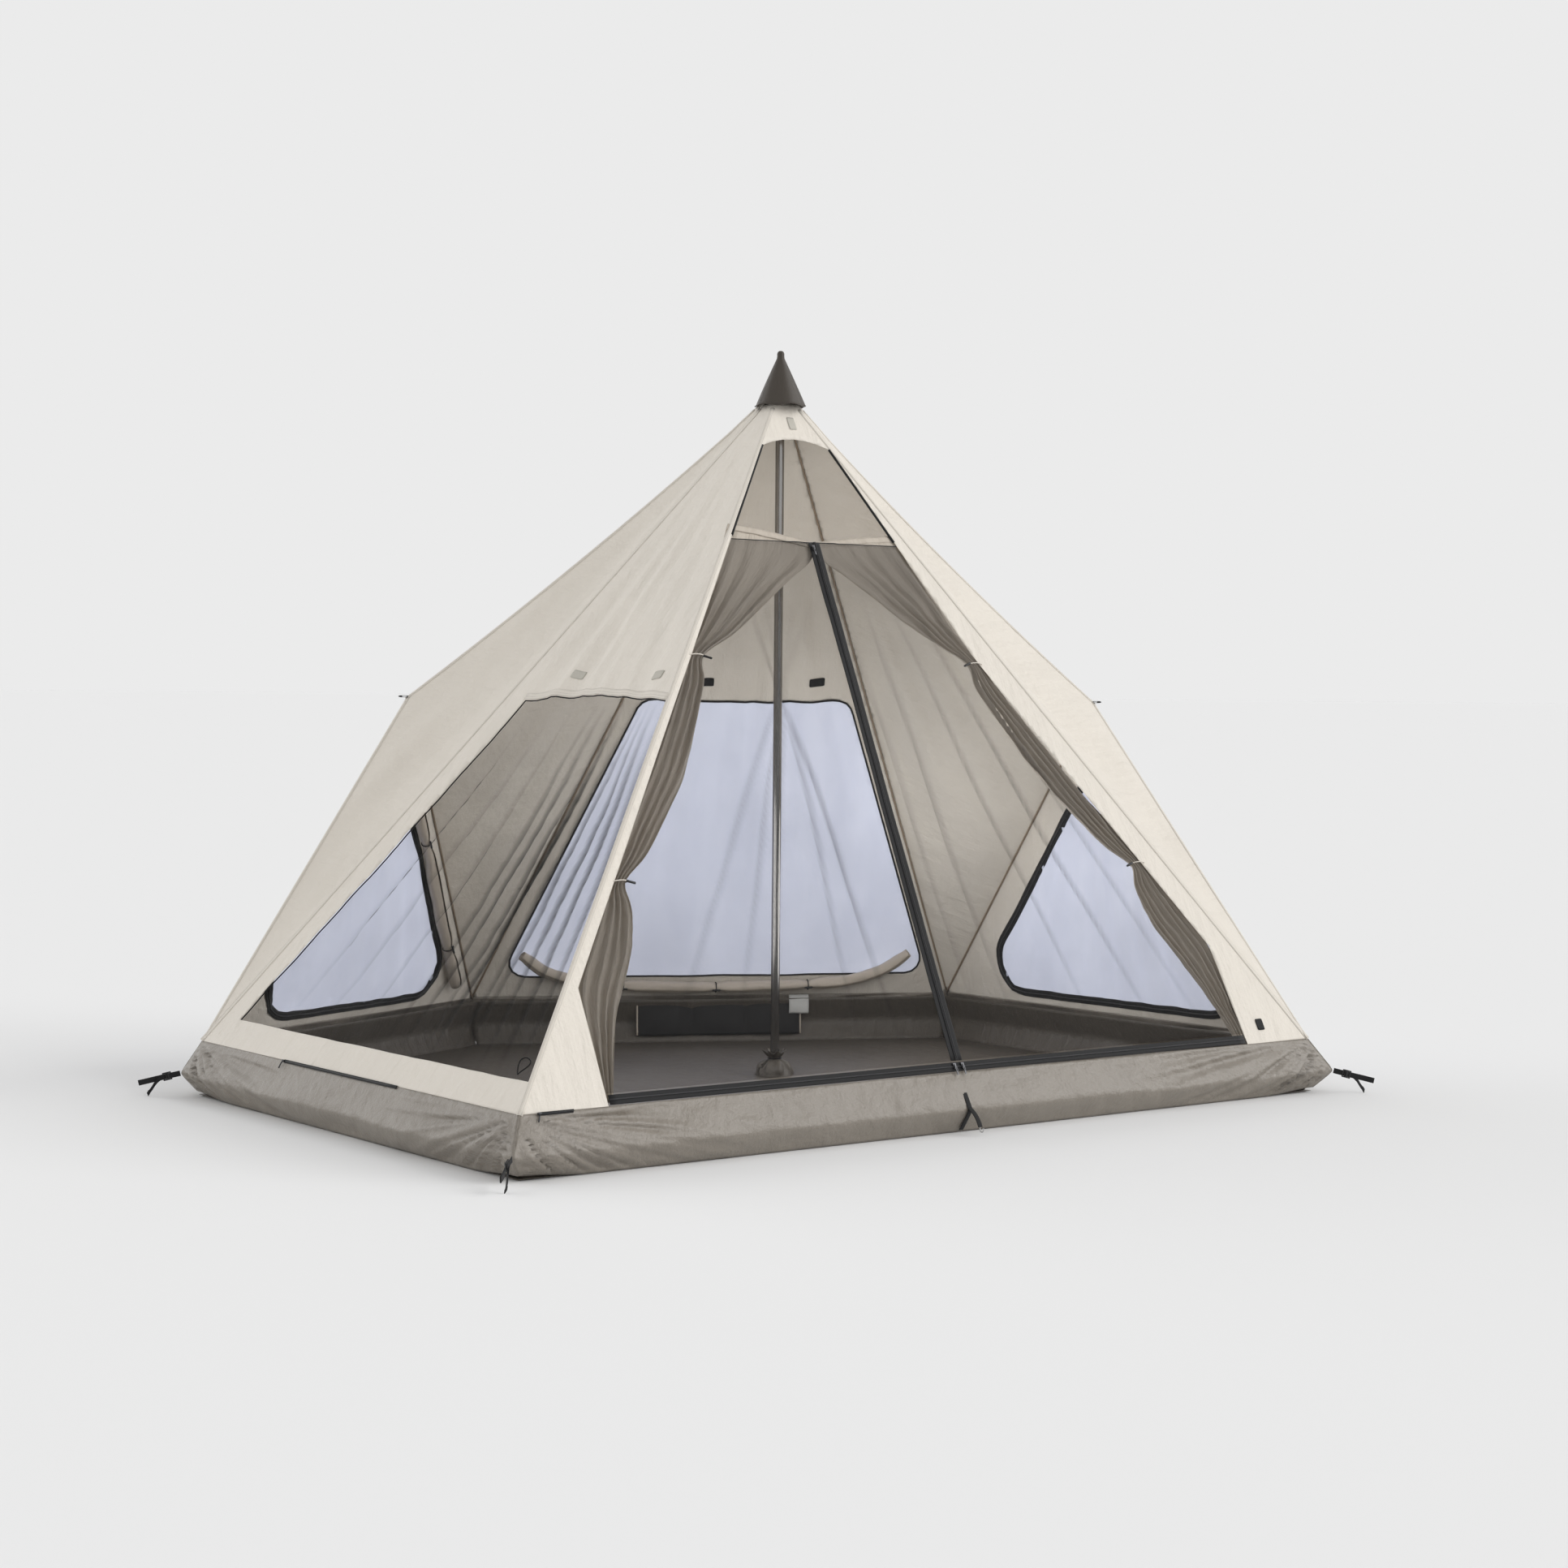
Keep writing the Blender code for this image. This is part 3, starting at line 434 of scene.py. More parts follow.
def skirt_rings():
    """Corners of the skirt's top, widest and foot rings, in plan order."""
    lines, heights = {"top": [], "knuckle": [], "foot": []}, {}
    for side in SIDES:
        points = [v.co for v in nodes["skirt_" + side].data.vertices]
        high = max(p.z for p in points)
        ends = [p for p in points if high - p.z < 1e-5]
        along = (ends[0] - max(ends, key=lambda p: (p - ends[0]).length)).normalized()
        out = Vector((along.y, -along.x, 0.0)).normalized()
        if out.dot(ends[0]) < 0.0:
            out.negate()
        widest = max(points, key=out.dot)
        heights = {"top": high, "knuckle": widest.z, "foot": 0.0}
        for ring, height in heights.items():
            level = [out.dot(p) for p in points if abs(p.z - height) < 1e-4]
            lines[ring].append((out, max(level)))
    rings = {}
    for ring, height in heights.items():
        floor = (Vector((0.0, 0.0, 1.0)), height)
        rings[ring] = [meeting(lines[ring][i - 1], lines[ring][i], floor)
                       for i in range(len(SIDES))]
    return rings


rings = skirt_rings()
top_ring = rings["top"]
slope = {name: outer_plane(name) for name in nodes
         if name.startswith(("panel_", "wall_", "shoulder_"))}
apex = Vector((0.0, 0.0, slope["panel_front_left"][1] / slope["panel_front_left"][0].z))
pull = {side: meeting(slope["wall_" + side], slope["shoulder_" + side + "_front"],
                      slope["shoulder_" + side + "_back"]) for side in ("left", "right")}
print("apex", round(apex.z, 3), "pull-outs", [round(pull[s].z, 3) for s in pull])


class Face:
    """A canopy triangle a, b, c, anticlockwise from outside."""

    def __init__(self, a, b, c):
        self.corners = (a, b, c)
        self.u = (b - a).normalized()
        self.normal = self.u.cross(c - a).normalized()
        self.v = self.normal.cross(self.u)
        self.length = (b - a).length
        self.tip = Vector(((c - a).dot(self.u), (c - a).dot(self.v)))
        columns = Matrix((self.u, self.v, self.normal)).transposed().to_4x4()
        self.matrix = Matrix.Translation(a) @ columns

    def world(self, u, v, depth=0.0):
        return self.matrix @ Vector((u, v, -depth))

    def shares(self, u, v):
        """How much of a point belongs to each corner: one at the corner, none opposite."""
        third = v / self.tip.y
        second = (u - third * self.tip.x) / self.length
        return 1.0 - second - third, second, third

    def rise(self, z):
        return (z - self.corners[0].z) / self.v.z

    def left(self, v):
        return self.tip.x * v / self.tip.y

    def right(self, v):
        return self.length - (self.length - self.tip.x) * v / self.tip.y


FL, R, B2, B1, L = range(5)
faces = {
    "front": Face(top_ring[FL], top_ring[R], apex),
    "front_left": Face(top_ring[L], top_ring[FL], apex),
    "shoulder_left_front": Face(pull["left"], top_ring[L], apex),
    "shoulder_left_back": Face(top_ring[B1], pull["left"], apex),
    "wall_left": Face(top_ring[B1], top_ring[L], pull["left"]),
    "back": Face(top_ring[B2], top_ring[B1], apex),
    "shoulder_right_back": Face(pull["right"], top_ring[B2], apex),
    "shoulder_right_front": Face(top_ring[R], pull["right"], apex),
    "wall_right": Face(top_ring[R], top_ring[B2], pull["right"]),
}
print({key: round(face.length, 3) for key, face in faces.items()})


# %% [markdown]
# ## How the cloth hangs
# A stitched panel is tight along its seams and slack between them. Between the cone and a
# pull-out the seam itself is pulled inwards. Long shallow folds fan out from the apex, and
# small crumples lie all over. One function gives the cloth's place for any point of a
# triangle, so a window, its zip and its binding all lie on the same surface.

# %% The skin of the tent
SLACK = {"front": 0.0, "front_left": 0.030, "shoulder_left_front": 0.035,
         "shoulder_left_back": 0.035, "wall_left": 0.022, "back": 0.040,
         "shoulder_right_back": 0.035, "shoulder_right_front": 0.022,
         "wall_right": 0.022}
HOLLOW = 0.034                       # how far a pull-out's seam bows in, halfway up
PULLED = {"shoulder_left_front": 0, "shoulder_left_back": 1,
          "shoulder_right_back": 0, "shoulder_right_front": 1}
FOLD_FAN, FOLD_HEIGHT = 15.0, 0.018  # folds that fan out from the apex
SHARP_FAN, SHARP_HEIGHT = 24.0, 0.010
CRUMPLE_SIZE, CRUMPLE_HEIGHT = 0.13, 0.0085
LUMP_SIZE = 0.42
TIGHT_EDGE = 0.09                    # share of a triangle beside a seam that stays flat
FRONT_CALM = 0.30                    # the front is only a frame, so it creases less


def ease(value, start, end):
    t = min(max((value - start) / (end - start), 0.0), 1.0)
    return t * t * (3.0 - 2.0 * t)


def creases(point, fan, away):
    """Height of the folds and crumples at a point; fan is the angle at the apex."""
    folds = noise.noise(Vector((fan * FOLD_FAN, away * 0.7, 3.1))) * ease(away, 0.1, 1.0)
    fine = noise.fractal(point / CRUMPLE_SIZE, 0.9, 2.1, 3)
    lumps = noise.noise(point / LUMP_SIZE + Vector((7.0, 2.0, 5.0)))
    sharp = 0.25 - abs(noise.noise(Vector((fan * SHARP_FAN, away * 1.6, 9.4))))
    return (folds * FOLD_HEIGHT + sharp * SHARP_HEIGHT * ease(away, 0.2, 1.2)
            + fine * CRUMPLE_HEIGHT * 0.5 + lumps * CRUMPLE_HEIGHT)


def skin(key, u, v, depth=0.0):
    """The place of a point of the cloth, depth inside its outer side."""
    face = faces[key]
    shares = face.shares(u, v)
    point = face.world(u, v)
    inner = [max(s, 0.0) for s in shares]
    slack = 27.0 * inner[0] * inner[1] * inner[2]
    near = min(shares)
    away = math.hypot(u - face.tip.x, v - face.tip.y)
    fan = math.atan2(u - face.tip.x, face.tip.y - v + 1e-6)
    height = creases(point, fan, away) * ease(near, 0.0, TIGHT_EDGE)
    if key == "front":
        height *= FRONT_CALM
    place = point + face.normal * (height - slack * SLACK[key] - depth)
    if key in PULLED:
        own = PULLED[key]
        ridge = inner[own] / max(inner[0] + inner[1], 1e-6)
        bow = HOLLOW * 4.0 * inner[2] * (1.0 - inner[2]) * ridge
        flat = Vector((point.x, point.y, 0.0))
        place -= flat.normalized() * bow * min(1.0, flat.length / 0.2)
    return place


# %% [markdown]
# ## Cutting cloth
# The outer side of a CAD panel is already the right outline, holes and all. A copy of it is
# merged, laid flat in its own frame, and cut by two sets of parallel planes, which leaves a
# grid fine enough to hold folds. Its edges are let out to the ridge, where the panels meet
# under a seam. Solidify then gives the sheet its thickness.

# %% Cut, drape and finish a sheet
STEP = 0.022                         # size of the cloth's grid
RIDGE_SNAP = 0.010                   # an edge this close to a ridge is let out to it
CLOTH_THICK = 0.0010


def flat_copy(name, matrix=Matrix.Identity(4)):
    """The outer side of a flat CAD piece, in the frame that it was laid out in."""
    form = bmesh.new()
    form.from_mesh(nodes[name].data)
    bmesh.ops.remove_doubles(form, verts=form.verts, dist=1e-5)
    form.transform(matrix.inverted())
    form.normal_update()
    high = max(v.co.z for v in form.verts)
    others = [f for f in form.faces
              if f.normal.z < 0.99 or high - f.calc_center_median().z > 1e-4]
    bmesh.ops.delete(form, geom=others, context="FACES")
    for v in form.verts:
        v.co.z = 0.0
    return form


def let_out(form, face):
    """Moves an outline's edges onto the ridges that they run beside."""
    for v in form.verts:
        u, rise = v.co.x, v.co.y
        if abs(u - face.left(rise)) < RIDGE_SNAP:
            v.co.x = face.left(rise)
        elif abs(u - face.right(rise)) < RIDGE_SNAP:
            v.co.x = face.right(rise)
        if rise < RIDGE_SNAP / 2.0:
            v.co.y = 0.0


def cut_grid(form, step):
    """Cuts a flat form by planes a step apart, both ways."""
    for axis in (0, 1):
        places = [v.co[axis] for v in form.verts]
        low, high = min(places), max(places)
        count = max(2, round((high - low) / step))
        normal = Vector((1.0, 0.0, 0.0)) if axis == 0 else Vector((0.0, 1.0, 0.0))
        for i in range(1, count):
            everything = form.verts[:] + form.edges[:] + form.faces[:]
            bmesh.ops.bisect_plane(form, geom=everything, dist=1e-5,
                                   plane_co=normal * (low + (high - low) * i / count),
                                   plane_no=normal)


def mark_pattern(form):
    """Writes a flat form's own x and y, in metres, as its UV map."""
    layer = form.loops.layers.uv.new("cloth")
    for face in form.faces:
        for loop in face.loops:
            loop[layer].uv = loop.vert.co.xy


def to_object(name, form, finish, smooth=True):
    mesh = bpy.data.meshes.new(name)
    form.to_mesh(mesh)
    form.free()
    if smooth:
        mesh.shade_smooth()
    mesh.materials.append(finish.material)
    piece = bpy.data.objects.new(name, mesh)
    bpy.context.scene.collection.objects.link(piece)
    return piece


def thicken(piece, thick, offset=-1.0):
    """Gives a sheet its thickness: inwards, or to both sides with an offset of zero."""
    wall = piece.modifiers.new("thickness", "SOLIDIFY")
    wall.thickness, wall.offset = thick, offset
    return piece


def dress(piece, body, slot, *replaced):
    """Attaches a piece to what it rides on and hides the CAD solids that it replaces; slot is
    not used.
    """
    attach(piece, body)
    if replaced:
        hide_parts(*replaced)
    return piece


def spread(form):
    """Flat width, length and area of a form."""
    xs = [v.co.x for v in form.verts]
    ys = [v.co.y for v in form.verts]
    area = sum(f.calc_area() for f in form.faces)
    return max(xs) - min(xs), max(ys) - min(ys), area


LEAST_SHARE = 0.35                   # of a cut's rectangle that its cloth fills
sheets = []


def declare_sheet(piece, width, length, area, held):
    """Says what a sheet was cut from; a thin frame counts as the strip it is made of."""
    if area < LEAST_SHARE * width * length:
        width = area / length
    min(area, width * length)
    sheets.append((piece.name, round(width, 3), round(length, 3), round(area, 3)))


def sew(name, key, finish, slot, depth=0.0, body="tent", thick=CLOTH_THICK, step=STEP,
        folds=None, snap=True):
    """Cuts the CAD piece's outer side from cloth and drapes it on the skin."""
    face = faces[key]
    form = flat_copy(name, face.matrix)
    if snap:
        let_out(form, face)
    cut_grid(form, step)
    mark_pattern(form)
    width, length, area = spread(form)
    marks = []
    for v in form.verts:
        u, rise = v.co.x, v.co.y
        mark, extra = folds(u, rise) if folds else (0.0, 0.0)
        marks.append(mark)
        v.co = skin(key, u, rise, depth + extra)
    piece = to_object("soft_" + name, form, finish)
    if folds:
        layer = piece.data.attributes.new("fold", "FLOAT", "POINT")
        layer.data.foreach_set("value", marks)
    thicken(piece, thick)
    dress(piece, body, slot, name)
    declare_sheet(piece, width, length, area, "stretched")
    return piece


# %% Canopy panels
for key in faces:
    name = key if key.startswith(("shoulder", "wall")) else "panel_" + key
    sew(name, key, cream, "cream_cloth")
print("canopy cut from", round(sum(s[3] for s in sheets), 2), "square metres")


# %% [markdown]
# ## Films and nets
# The back window and the two low windows are clear film, sewn in behind the cloth. The
# left awning's window and the door leaves are insect netting, which hangs in thin dark
# folds. A fold is a narrow line where the net lies double, so it is both a small step in
# the sheet and a darker mark on it.

# %% Windows
for key, name in (("back", "window_back"), ("wall_left", "window_left"),
                  ("wall_right", "window_right")):
    sew(name, key, window_film, "window_film", depth=0.003, snap=False, thick=0.0006)


def net_folds(lines):
    """Folds of a net along lines of flat places: (u0, v0, u1, v1, width, strength)."""
    def at(u, v):
        mark, lift = 0.0, 0.0
        for u0, v0, u1, v1, width, strength in lines:
            run = Vector((u1 - u0, v1 - v0))
            t = Vector((u - u0, v - v0)).dot(run) / run.length_squared
            if not -0.05 < t < 1.05:
                continue
            middle = Vector((u0, v0)) + run * t
            wander = noise.noise(Vector((t * 3.0, u0 * 9.0, v0))) * 0.02
            off = abs((u - middle.x) - wander)
            near = max(0.0, 1.0 - off / width) * math.sin(math.pi * min(max(t, 0.0), 1.0))
            mark = max(mark, near * strength)
            lift = max(lift, near * 0.012)
        return mark, lift
    return at


def fan_of_lines(seed, count, top, foot, width=0.012, strength=0.55):
    """Lines between two level edges: top and foot are (u start, u end, v)."""
    made = []
    for i in range(count):
        t = (i + 0.5) / count
        a = t + 0.35 / count * noise.noise(Vector((i * 1.7, seed, 0.0))) * 2.0
        b = t + 0.35 / count * noise.noise(Vector((i * 2.3, seed, 4.0))) * 3.0
        deep = strength * (0.6 + 0.8 * abs(noise.noise(Vector((i * 0.9, seed, 8.0)))) * 2.0)
        made.append((top[0] + (top[1] - top[0]) * a, top[2],
                     foot[0] + (foot[1] - foot[0]) * b, foot[2], width, deep))
    return made


awning = faces["front_left"]
head_v, low_v = awning.rise(1.46), 0.12
net_lines = fan_of_lines(1.0, 9, (awning.left(head_v) + 0.55, awning.right(head_v), head_v),
                         (1.05, 1.95, low_v), 0.018, 1.0)
net_lines += fan_of_lines(5.0, 3, (awning.left(head_v) + 0.15, awning.left(head_v) + 0.5,
                                   head_v), (0.3, 1.0, low_v), 0.016, 0.25)
sew("window_front_left", "front_left", black_mesh, "black_mesh", depth=0.010, snap=False,
    thick=0.0004, step=0.012, folds=net_folds(net_lines))

door = faces["front"]
for side, name in ((-1, "left"), (1, "right")):
    reach = ((0.35, 1.70), (1.72, 3.05))[side > 0]
    lines = fan_of_lines(9.0 + side, 5, (1.78 + side * 0.02, 1.83 + side * 0.45, 1.9),
                         (reach[0], reach[1], 0.05), 0.016, 0.30)
    sew("mesh_door_" + name, "front", black_mesh, "black_mesh", body="door_" + name,
        snap=False, thick=0.0004, step=0.013, folds=net_folds(lines))


# %% [markdown]
# ## Bands, bindings and zips
# Wherever two pieces of cloth meet there is a narrow band: a folded hem, a piping, or a
# zip's tape. A band is a grid whose one side runs along a path on the skin and whose other
# side crosses it. A piping is a thin tube on the same path.

# %% Bands and pipings
def grid_sheet(name, columns, rows, place, size, finish):
    """A sheet from a square grid: place(s, t) gives each point, size its flat measures."""
    form = bmesh.new()
    bmesh.ops.create_grid(form, x_segments=columns, y_segments=rows, size=0.5)
    layer = form.loops.layers.uv.new("cloth")
    share = {v: (v.co.x + 0.5, v.co.y + 0.5) for v in form.verts}
    for face in form.faces:
        for loop in face.loops:
            s, t = share[loop.vert]
            loop[layer].uv = (s * size[0], t * size[1])
    for v, (s, t) in share.items():
        v.co = place(s, t)
    return to_object(name, form, finish)


def along_path(points, t):
    """Place and direction at a share t of a path of flat or solid points."""
    lengths = [(b - a).length for a, b in zip(points, points[1:])]
    left = t * sum(lengths)
    for a, b, length in zip(points, points[1:], lengths):
        if left <= length or b is points[-1]:
            return a.lerp(b, min(left / length, 1.0)), (b - a).normalized()
        left -= length


def path_length(points):
    return sum((b - a).length for a, b in zip(points, points[1:]))


def band(name, key, points, width, depth, finish, slot, body="tent", thick=0.0012,
         shift=0.0, columns=3):
    """A strip of cloth along flat points of a face; shift moves it to the path's left."""
    length = path_length(points)
    rows = max(4, round(length / 0.03))

    def place(s, t):
        at, run = along_path(points, t)
        side = Vector((-run.y, run.x))
        flat = at + side * ((s - 0.5) * width + shift)
        return skin(key, flat.x, flat.y, depth)

    piece = grid_sheet(name, columns, rows, place, (width, length), finish)
    thicken(piece, thick, 0.0)
    dress(piece, body, slot)
    if width >= 0.01:
        declare_sheet(piece, width, length, width * length, "stretched")
    return piece


def add_line(curve, points, cyclic=False):
    spline = curve.splines.new("POLY")
    spline.points.add(len(points) - 1)
    for knot, point in zip(spline.points, points):
        knot.co = (*point, 1.0)
    spline.use_cyclic_u = cyclic


def curve_form(curve):
    """A curve's mesh, with its doubles merged and its faces turned outwards."""
    shell = bpy.data.objects.new(curve.name + "_line", curve)
    bpy.context.scene.collection.objects.link(shell)
    bpy.context.view_layer.update()
    mesh = bpy.data.meshes.new_from_object(shell.evaluated_get(
        bpy.context.evaluated_depsgraph_get()))
    bpy.data.objects.remove(shell)
    bpy.data.curves.remove(curve)
    form = bmesh.new()
    form.from_mesh(mesh)
    bpy.data.meshes.remove(mesh)
    bmesh.ops.remove_doubles(form, verts=form.verts, dist=1e-5)
    bmesh.ops.recalc_face_normals(form, faces=form.faces)
    return form


def tube(name, points, radius, finish, slot, body="tent"):
    """A round cord of cloth or wire along solid points, as a closed mesh."""
    curve = bpy.data.curves.new(name, "CURVE")
    curve.dimensions = "3D"
    curve.bevel_depth, curve.bevel_resolution = radius, 2
    curve.use_fill_caps = True
    add_line(curve, points)
    form = curve_form(curve)
    layer = form.loops.layers.uv.new("cloth")
    for face in form.faces:
        for loop in face.loops:
            loop[layer].uv = (loop.vert.co.x + loop.vert.co.y, loop.vert.co.z)
    return dress(to_object(name, form, finish), body, slot)


def ring_line(centre, across, up, count):
    """A closed ring of points round a centre, which reaches across and up."""
    turns = [math.tau * i / count for i in range(count + 1)]
    return [centre + across * math.cos(a) + up * math.sin(a) for a in turns]


def smooth_line(knots, steps=6):
    """A smooth curve through knots, flat or solid."""
    line = []
    for i in range(len(knots) - 1):
        before, p = knots[max(i - 1, 0)], knots[i]
        q, after = knots[i + 1], knots[min(i + 2, len(knots) - 1)]
        for k in range(steps):
            t = k / steps
            line.append(p * (2 * t ** 3 - 3 * t ** 2 + 1) + q * (3 * t ** 2 - 2 * t ** 3)
                        + (q - before) / 2 * (t ** 3 - 2 * t ** 2 + t)
                        + (after - p) / 2 * (t ** 3 - t ** 2))
    return line + [knots[-1]]


def rim(name, face):
    """The outline of a flat CAD piece, in order, in its face's frame."""
    form = flat_copy(name, face.matrix)
    bmesh.ops.dissolve_limit(form, angle_limit=0.02, verts=form.verts, edges=form.edges)
    edges = [e for e in form.edges if e.is_boundary]
    ahead = {}
    for e in edges:
        loop = e.link_loops[0]
        ahead[loop.vert] = loop.link_loop_next.vert
    start = here = next(iter(ahead))
    points = [here.co.xy.copy()]
    while ahead[here] is not start:
        here = ahead[here]
        points.append(here.co.xy.copy())
    form.free()
    return points


def closed(points):
    return list(points) + [points[0]]


def fine_line(points, step=0.03):
    """The same line with a point every step, so that a tube can follow the skin."""
    count = max(2, round(path_length(points) / step))
    return [along_path(points, i / count)[0] for i in range(count + 1)]


def piping(name, key, points, radius, depth, finish, slot, body="tent"):
    line = [skin(key, p.x, p.y, depth) for p in fine_line(points)]
    return tube(name, line, radius, finish, slot, body)


# %% Bindings of the windows
awning_rim = rim("window_front_left", awning)
piping("binding_awning", "front_left", closed(awning_rim), 0.0026, 0.006, zip_tape,
       "zip_tape")
head_edge = [p for p in awning_rim if p.y > head_v - 0.02]
head_edge.sort(key=lambda p: p.x)
band("hem_awning", "front_left", head_edge, 0.030, -0.0015, cream_hem, "cream_cloth",
     shift=0.014)
back_rim = rim("window_back", faces["back"])
piping("binding_back", "back", closed(back_rim), 0.004, 0.004, zip_tape, "zip_tape")
for side in ("left", "right"):
    key = "wall_" + side
    face = faces[key]
    loop = closed(rim("window_" + side, face))
    tape = band("zip_tape_" + side, key, loop, 0.034, 0.004, zip_tape, "zip_tape",
                columns=4)
    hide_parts("zip_wall_" + side)
    piping("coil_" + side, key, loop, 0.0028, 0.0065, zip_coil, "zip_metal")
    band("zip_flap_" + side, key, loop, 0.030, -0.0015, cream_hem, "cream_cloth", columns=4)


# %% Seams along the ridges
def ridge_seam(name, low, high, first, second, width=0.011):
    """A flat-felled seam over a ridge, and its binding inside."""
    keys = {first: faces[first], second: faces[second]}

    def on(key, point):
        flat = faces[key].matrix.inverted() @ point
        return flat.x, flat.y

    def place(s, t):
        point = low.lerp(high, t)
        key = first if s < 0.5 else second
        face = keys[key]
        along = (high - low).normalized()
        inward = face.normal.cross(along)
        middle = (face.corners[0] + face.corners[1] + face.corners[2]) / 3.0
        if inward.dot(middle - point) < 0.0:
            inward.negate()
        u, v = on(key, point + inward * abs(s - 0.5) * 2.0 * width)
        return skin(key, u, v, -0.0008)

    length = (high - low).length
    piece = grid_sheet(name, 4, round(length / 0.03), place, (0.018, length), cream_hem)
    thicken(piece, 0.0012, 0.0)
    dress(piece, "tent", "cream_cloth")
    inside = (faces[first].normal + faces[second].normal).normalized()
    inside *= -0.0062 / inside.dot(faces[first].normal)
    line = [skin(first, *on(first, low.lerp(high, i / 60))) + inside for i in range(61)]
    tube(name + "_binding", line, 0.0040, taupe_hem, "taupe_cloth")
    return piece


def near_top(point, z=2.575):
    return apex.lerp(point, (apex.z - z) / (apex.z - point.z))


RIDGES = (
    ("seam_front_left", top_ring[FL], "front_left", "front"),
    ("seam_left", top_ring[L], "front_left", "shoulder_left_front"),
    ("seam_pull_left", pull["left"], "shoulder_left_front", "shoulder_left_back"),
    ("seam_back_left", top_ring[B1], "shoulder_left_back", "back"),
    ("seam_back_right", top_ring[B2], "back", "shoulder_right_back"),
    ("seam_pull_right", pull["right"], "shoulder_right_back", "shoulder_right_front"),
    ("seam_front_right", top_ring[R], "shoulder_right_front", "front"),
)
for name, low, first, second in RIDGES:
    ridge_seam(name, low, near_top(low), first, second)
for name, low, side, way in (("seam_wall_l", top_ring[L], "left", "front"),
                             ("seam_wall_b1", top_ring[B1], "left", "back"),
                             ("seam_wall_b2", top_ring[B2], "right", "back"),
                             ("seam_wall_r", top_ring[R], "right", "front")):
    ridge_seam(name, low, pull[side], "wall_" + side, "shoulder_%s_%s" % (side, way))


# %% [markdown]
# ## The skirt and the floor
# The bathtub skirt is one band of coated cloth per side. It leans out from the canopy to
# its widest line, then tucks under. It shines a little, and folds run out of its corners.
# The groundsheet lies on the floor with the shallow waves of cloth that has been folded.

# %% Skirt
KNUCKLE_SHARE = 0.64                 # of the skirt's height, from its top to its widest line
CORNER_LIFT = 0.016                  # a peg strap holds its corner's foot off the ground
LINING = 0.040                       # between the skirt and the bathtub wall inside it
SKIRT_WIDE, WALL_WIDE = 0.214, 0.19  # height of each, laid flat
RAY_FAN, RAY_DEPTH = 13.0, 0.040     # folds that run out of a corner


def skirt_corner(corner, q):
    """A corner of the skirt at a share q of its section, from its top to its foot."""
    top, knuckle, foot = (rings[r][corner] for r in ("top", "knuckle", "foot"))
    if q < KNUCKLE_SHARE:
        place = top.lerp(knuckle, q / KNUCKLE_SHARE)
    else:
        place = knuckle.lerp(foot, (q - KNUCKLE_SHARE) / (1.0 - KNUCKLE_SHARE))
    soften = max(0.0, 1.0 - abs(q - KNUCKLE_SHARE) / 0.10)
    return place.lerp((top + knuckle + foot) / 3.0, 0.07 * soften)


def skirt_side(index, side):
    after = (index + 1) % len(SIDES)
    low, high = rings["knuckle"][index], rings["knuckle"][after]
    length = (high - low).length
    along = (high - low).normalized()
    out = Vector((along.y, -along.x, 0.0))

    def place(s, q):
        point = skirt_corner(index, q).lerp(skirt_corner(after, q), s)
        edge = min(s, 1.0 - s) * length
        hold = ease(edge, 0.0, 0.05) * ease(min(q, 1.0 - q), 0.0, 0.12)
        lower = max(0.0, q - KNUCKLE_SHARE) / (1.0 - KNUCKLE_SHARE)
        point.z += CORNER_LIFT * lower * (1.0 - ease(edge, 0.0, 0.28))
        fan = math.atan2(q * 0.2, edge + 0.02) * RAY_FAN
        rays = 0.28 - abs(noise.noise(Vector((fan, index * 3.3 + (s > 0.5) * 7.0,
                                              edge * 1.4))))
        rays *= 1.0 - ease(edge, 0.35, 1.2)
        waves = noise.noise(Vector((s * length * 3.2, q * 1.2, index * 5.1)))
        fine = noise.fractal(point / 0.06, 0.9, 2.1, 2)
        push = rays * RAY_DEPTH + waves * 0.012 + fine * 0.003
        return point + out * (push * hold - 0.002)

    piece = grid_sheet("soft_skirt_" + side, round(length / 0.014), 26, place,
                       (length, SKIRT_WIDE), skirt_cloth)
    thicken(piece, 0.0012)
    dress(piece, "tent", "skirt_cloth", "skirt_" + side)
    declare_sheet(piece, length, SKIRT_WIDE, length * SKIRT_WIDE, "stretched")


def bath_wall(index, side):
    """The groundsheet's side, which stands up inside the skirt."""
    after = (index + 1) % len(SIDES)
    length = (rings["top"][index] - rings["top"][after]).length

    def place(s, t):
        point = skirt_corner(index, 0.08 + 0.92 * t).lerp(
            skirt_corner(after, 0.08 + 0.92 * t), s)
        inward = Vector((point.x, point.y, 0.0)).normalized()
        wave = noise.noise(Vector((s * length * 2.4, t * 1.4, index * 3.7))) * 0.006
        wave += noise.fractal(point / 0.09, 0.9, 2.1, 2) * 0.002
        return point - inward * (LINING + max(wave, -0.006) * ease(min(t, 1.0 - t), 0.0, 0.1))

    piece = grid_sheet("bath_wall_" + side, round(length / 0.03), 12, place,
                       (length, WALL_WIDE), floor_cloth)
    thicken(piece, 0.0012)
    dress(piece, "tent", "floor_cloth")
    declare_sheet(piece, length, WALL_WIDE, length * WALL_WIDE, "stretched")


for index, side in enumerate(SIDES):
    skirt_side(index, side)
    bath_wall(index, side)


# %% Groundsheet
GROUND_STEP = 0.05
CLEAR = 0.0035                       # the sheet's least height over the ground


